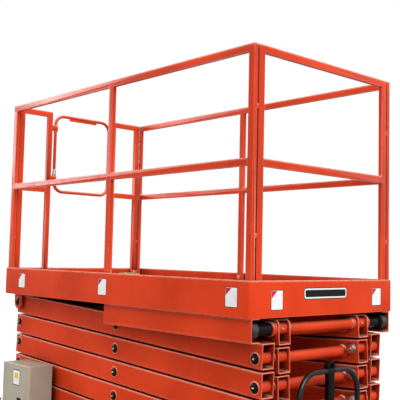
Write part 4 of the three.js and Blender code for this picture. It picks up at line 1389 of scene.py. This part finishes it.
loop = bmesh.new()
path = round_corners((hinge_y, gate_low_z), (latch_y, gate_high_z), gate_bend, 10)
swept(loop, [placed(p, gate_x, "x") for p in path], gate_radius, 18, True)
middle = (hinge_y + latch_y) / 2
strip = (middle - strip_half, gate_high_z - 28, middle + strip_half, gate_high_z - 4)
cut_plate(loop, inset(strip, 0, 5, 3), "x", gate_x - 3, gate_x + 3)
make_piece("gate_loop", loop, rail_enamel, "gate", 0.6, stands_for=("gate",))

gate_welds = bmesh.new()
for face in (-3, 3):
    x, z = gate_x + face, gate_high_z - 10.5
    weld_bead(gate_welds, (x, middle - strip_half, z), (x, middle + strip_half, z), 2.4)
make_piece("gate_weld_beads", gate_welds, red_enamel, "gate")

spring = bmesh.new()
spring_foot = knuckle_places[0] + 26
coil_steps = 9 * 12
path = []
for i in range(coil_steps + 1):
    angle = 2 * math.pi * i / 12
    path.append((gate_x + 15.5 * math.cos(angle), hinge_y + 15.5 * math.sin(angle),
                 spring_foot + i * 42 / coil_steps))
swept(spring, path, 1.6, 6)
make_piece("gate_spring", spring, zinc_plate, "gate")

stops = bmesh.new()
for z in knuckle_places:
    for dz in (-28, 24):
        turned(stops, bar(0, 4, 17, 0.5, 4), (gate_x, hinge_y, z + dz), "z", 24)
make_piece("gate_hinge_washers", stops, zinc_plate, "gate")

latch = bmesh.new()
stop_near, stop_far, stop_z = 258.5, 277, 2455
block(latch, (gate_x - 4, stop_near, stop_z - 15), (gate_x + 4, stop_far, stop_z + 15))
turned(latch, bar(0, 8, 6, 1, 1), (gate_x - 4, 268, stop_z), "x", 16)
make_piece("gate_latch_stop", latch, zinc_plate, "deck", 1.0)


# ---- Platform control box
# A yellow sheet-steel case in the rear corner of the floor with the raise, lower and stop
# controls on a raised lid. The knobs are moulded plastic in chromed rings.

low, high = box_mm("platform_control_box")
lid_z = high.z - 8
yellow_enamel = sprayed_paint(
    "yellow_enamel", (0.80, 0.42, 0.03), (0.92, 0.70, 0.30), (0.50, 0.30, 0.08),
    0.36, 0.35)
stop_red = sprayed_paint(
    "stop_button_red", (0.60, 0.012, 0.010), (0.72, 0.20, 0.16), (0.4, 0.05, 0.04),
    0.28, 0.5)

case = bmesh.new()
case_flat = (low.x, low.y, high.x, high.y)
for by, radius, bottom, top in (
        (0, 8, low.z, lid_z - 12), (3, 7, lid_z - 13, lid_z - 9), (0, 8, lid_z - 9, lid_z)):
    cut_plate(case, inset(case_flat, by, radius), "z", bottom, top)
make_piece("control_box_case", case, yellow_enamel, "deck", 1.5,
           stands_for=("platform_control_box",))

panel = bmesh.new()
cut_plate(panel, inset(case_flat, 12, 6, 3), "z", lid_z, lid_z + 2)
knobs = [(low.x + along, (low.y + high.y) / 2, lid_z) for along in (38, 78, 126)]
for knob in knobs[:2]:
    turned(panel, [(2, 11), (5, 11), (6, 8), (8, 8)], knob, "z", 24)
make_piece("control_box_panel", panel, black_enamel, "deck", 0.5)

bezel = bmesh.new()
for knob in knobs:
    turned(bezel, [(1.8, 16), (3.6, 15), (3.6, 12), (1.8, 11.5)], knob, "z", 28, True)
for x in (low.x + 20, high.x - 20):
    for y in (low.y + 20, high.y - 20):
        turned(bezel, [(1.5, 4), (3.2, 3.6), (4, 2)], (x, y, lid_z), "z", 12)
turned(bezel, [(0, 5.5), (4, 5.5), (5, 4)], Vector(knobs[2]) + Vector((24, -20, 2)), "z", 18)
for z in (low.z + 14, low.z + 34):
    for x in (low.x + 16, high.x - 16):
        hex_nut(bezel, (x, low.y, z), "-y", 8, 4)
make_piece("control_box_rings", bezel, zinc_plate, "deck")

stop = bmesh.new()
turned(stop, [(2, 8), (4.5, 8), (4.6, 13), (6, 14.5), (7.2, 13), (7.9, 7)], knobs[2], "z", 28)
make_piece("control_box_stop_button", stop, stop_red, "deck")


# ---- Labels and plates
# Blank printed stickers along the skirt, white with one red corner, and a black plate with a
# white rim on the front. They are laminated film a fraction of a millimetre thick.

label_height = 102
label_width = 88


def printed_film(name, colour):
    """Printed and laminated film: even, with a few yellowed patches and rubbed corners."""
    finish, tree, shader, place = start_finish(name)
    aged = tuple(part * f for part, f in zip(colour, (0.93, 0.91, 0.86)))
    skin = clouded(tree, place, colour, aged, 20, 0.45, 0.7, 4.0)
    skin = rub(tree, place, skin, 0.001, tuple(min(1, part * 1.2 + 0.02) for part in colour))
    lay_on(tree, shader, skin, mottle(tree, place, 200, 2.0), (0.24, 0.36), 0.03)
    shader.inputs["Specular IOR Level"].default_value = 0.2
    return finish


white_film = printed_film("white_film", (0.90, 0.91, 0.93))
red_film = printed_film("red_film", (0.66, 0.008, 0.030))
dark_film = printed_film("dark_film", (0.020, 0.012, 0.014))
black_film = printed_film("black_film", (0.004, 0.004, 0.005))
yellow_film = printed_film("yellow_film", (0.95, 0.55, 0.01))

low, high = box_mm("deck")
films = {"rim": bmesh.new(), "white": bmesh.new(), "red": bmesh.new(), "black": bmesh.new()}


def sticker(mesh, outline, axis, face, layer):
    """Lays a piece of film on a skirt face, sunk so that only its layers' thickness shows."""
    out = 1 if axis == "x" else -1
    near, far = sorted((face - out * 0.6, face + out * (layer - 0.05)))
    cut_plate(mesh, outline, axis, near, far)


side_labels = (-1032, -53, 1061)
front_labels = (-450, 404)
for axis, face, starts, width, top in (("y", low.y, side_labels, label_width, high.z - 35),
                                       ("x", high.x, front_labels, label_width + 2, high.z - 47)):
    for start in starts:
        label = (start, top - label_height, start + width, top)
        sticker(films["rim"], inset(label, 0, 6), axis, face, 0.12)
        sticker(films["white"], inset(label, 3.4, 5), axis, face, 0.24)
        corner = [(start + 5, top - 5), (start + 5, top - 44), (start + 46, top - 5)]
        sticker(films["red"], corner, axis, face, 0.36)
plate = (-197, high.z - 100, 168, high.z - 39)
for by, radius, part, layer in ((0, 16, "rim", 0.3), (4, 14, "white", 0.5), (12, 8, "black", 0.7)):
    sticker(films[part], inset(plate, by, radius, 6), "x", high.x, layer)
for part, finish in (("rim", dark_film), ("white", white_film), ("red", red_film), ("black", black_film)):
    make_piece("label_" + part + "_film", films[part], finish, "deck")

label = (door_low.x + 136, door_high.z - 34 - 103, door_low.x + 136 + 96, door_high.z - 34)
patch = (label[0] + 24, label[3] - 58, label[0] + 72, label[3] - 22)
for name, finish, outline, layer in (("cabinet_label_border", dark_film, inset(label, 0, 7), 0.12),
                                     ("cabinet_blank_label", white_film, inset(label, 5, 5), 0.25),
                                     ("cabinet_yellow_mark", yellow_film, inset(patch, 0, 3, 3), 0.4)):
    film = bmesh.new()
    cut_plate(film, outline, "y", door_face - layer, door_face + 0.4)
    make_piece(name, film, finish, "cabinet_door")
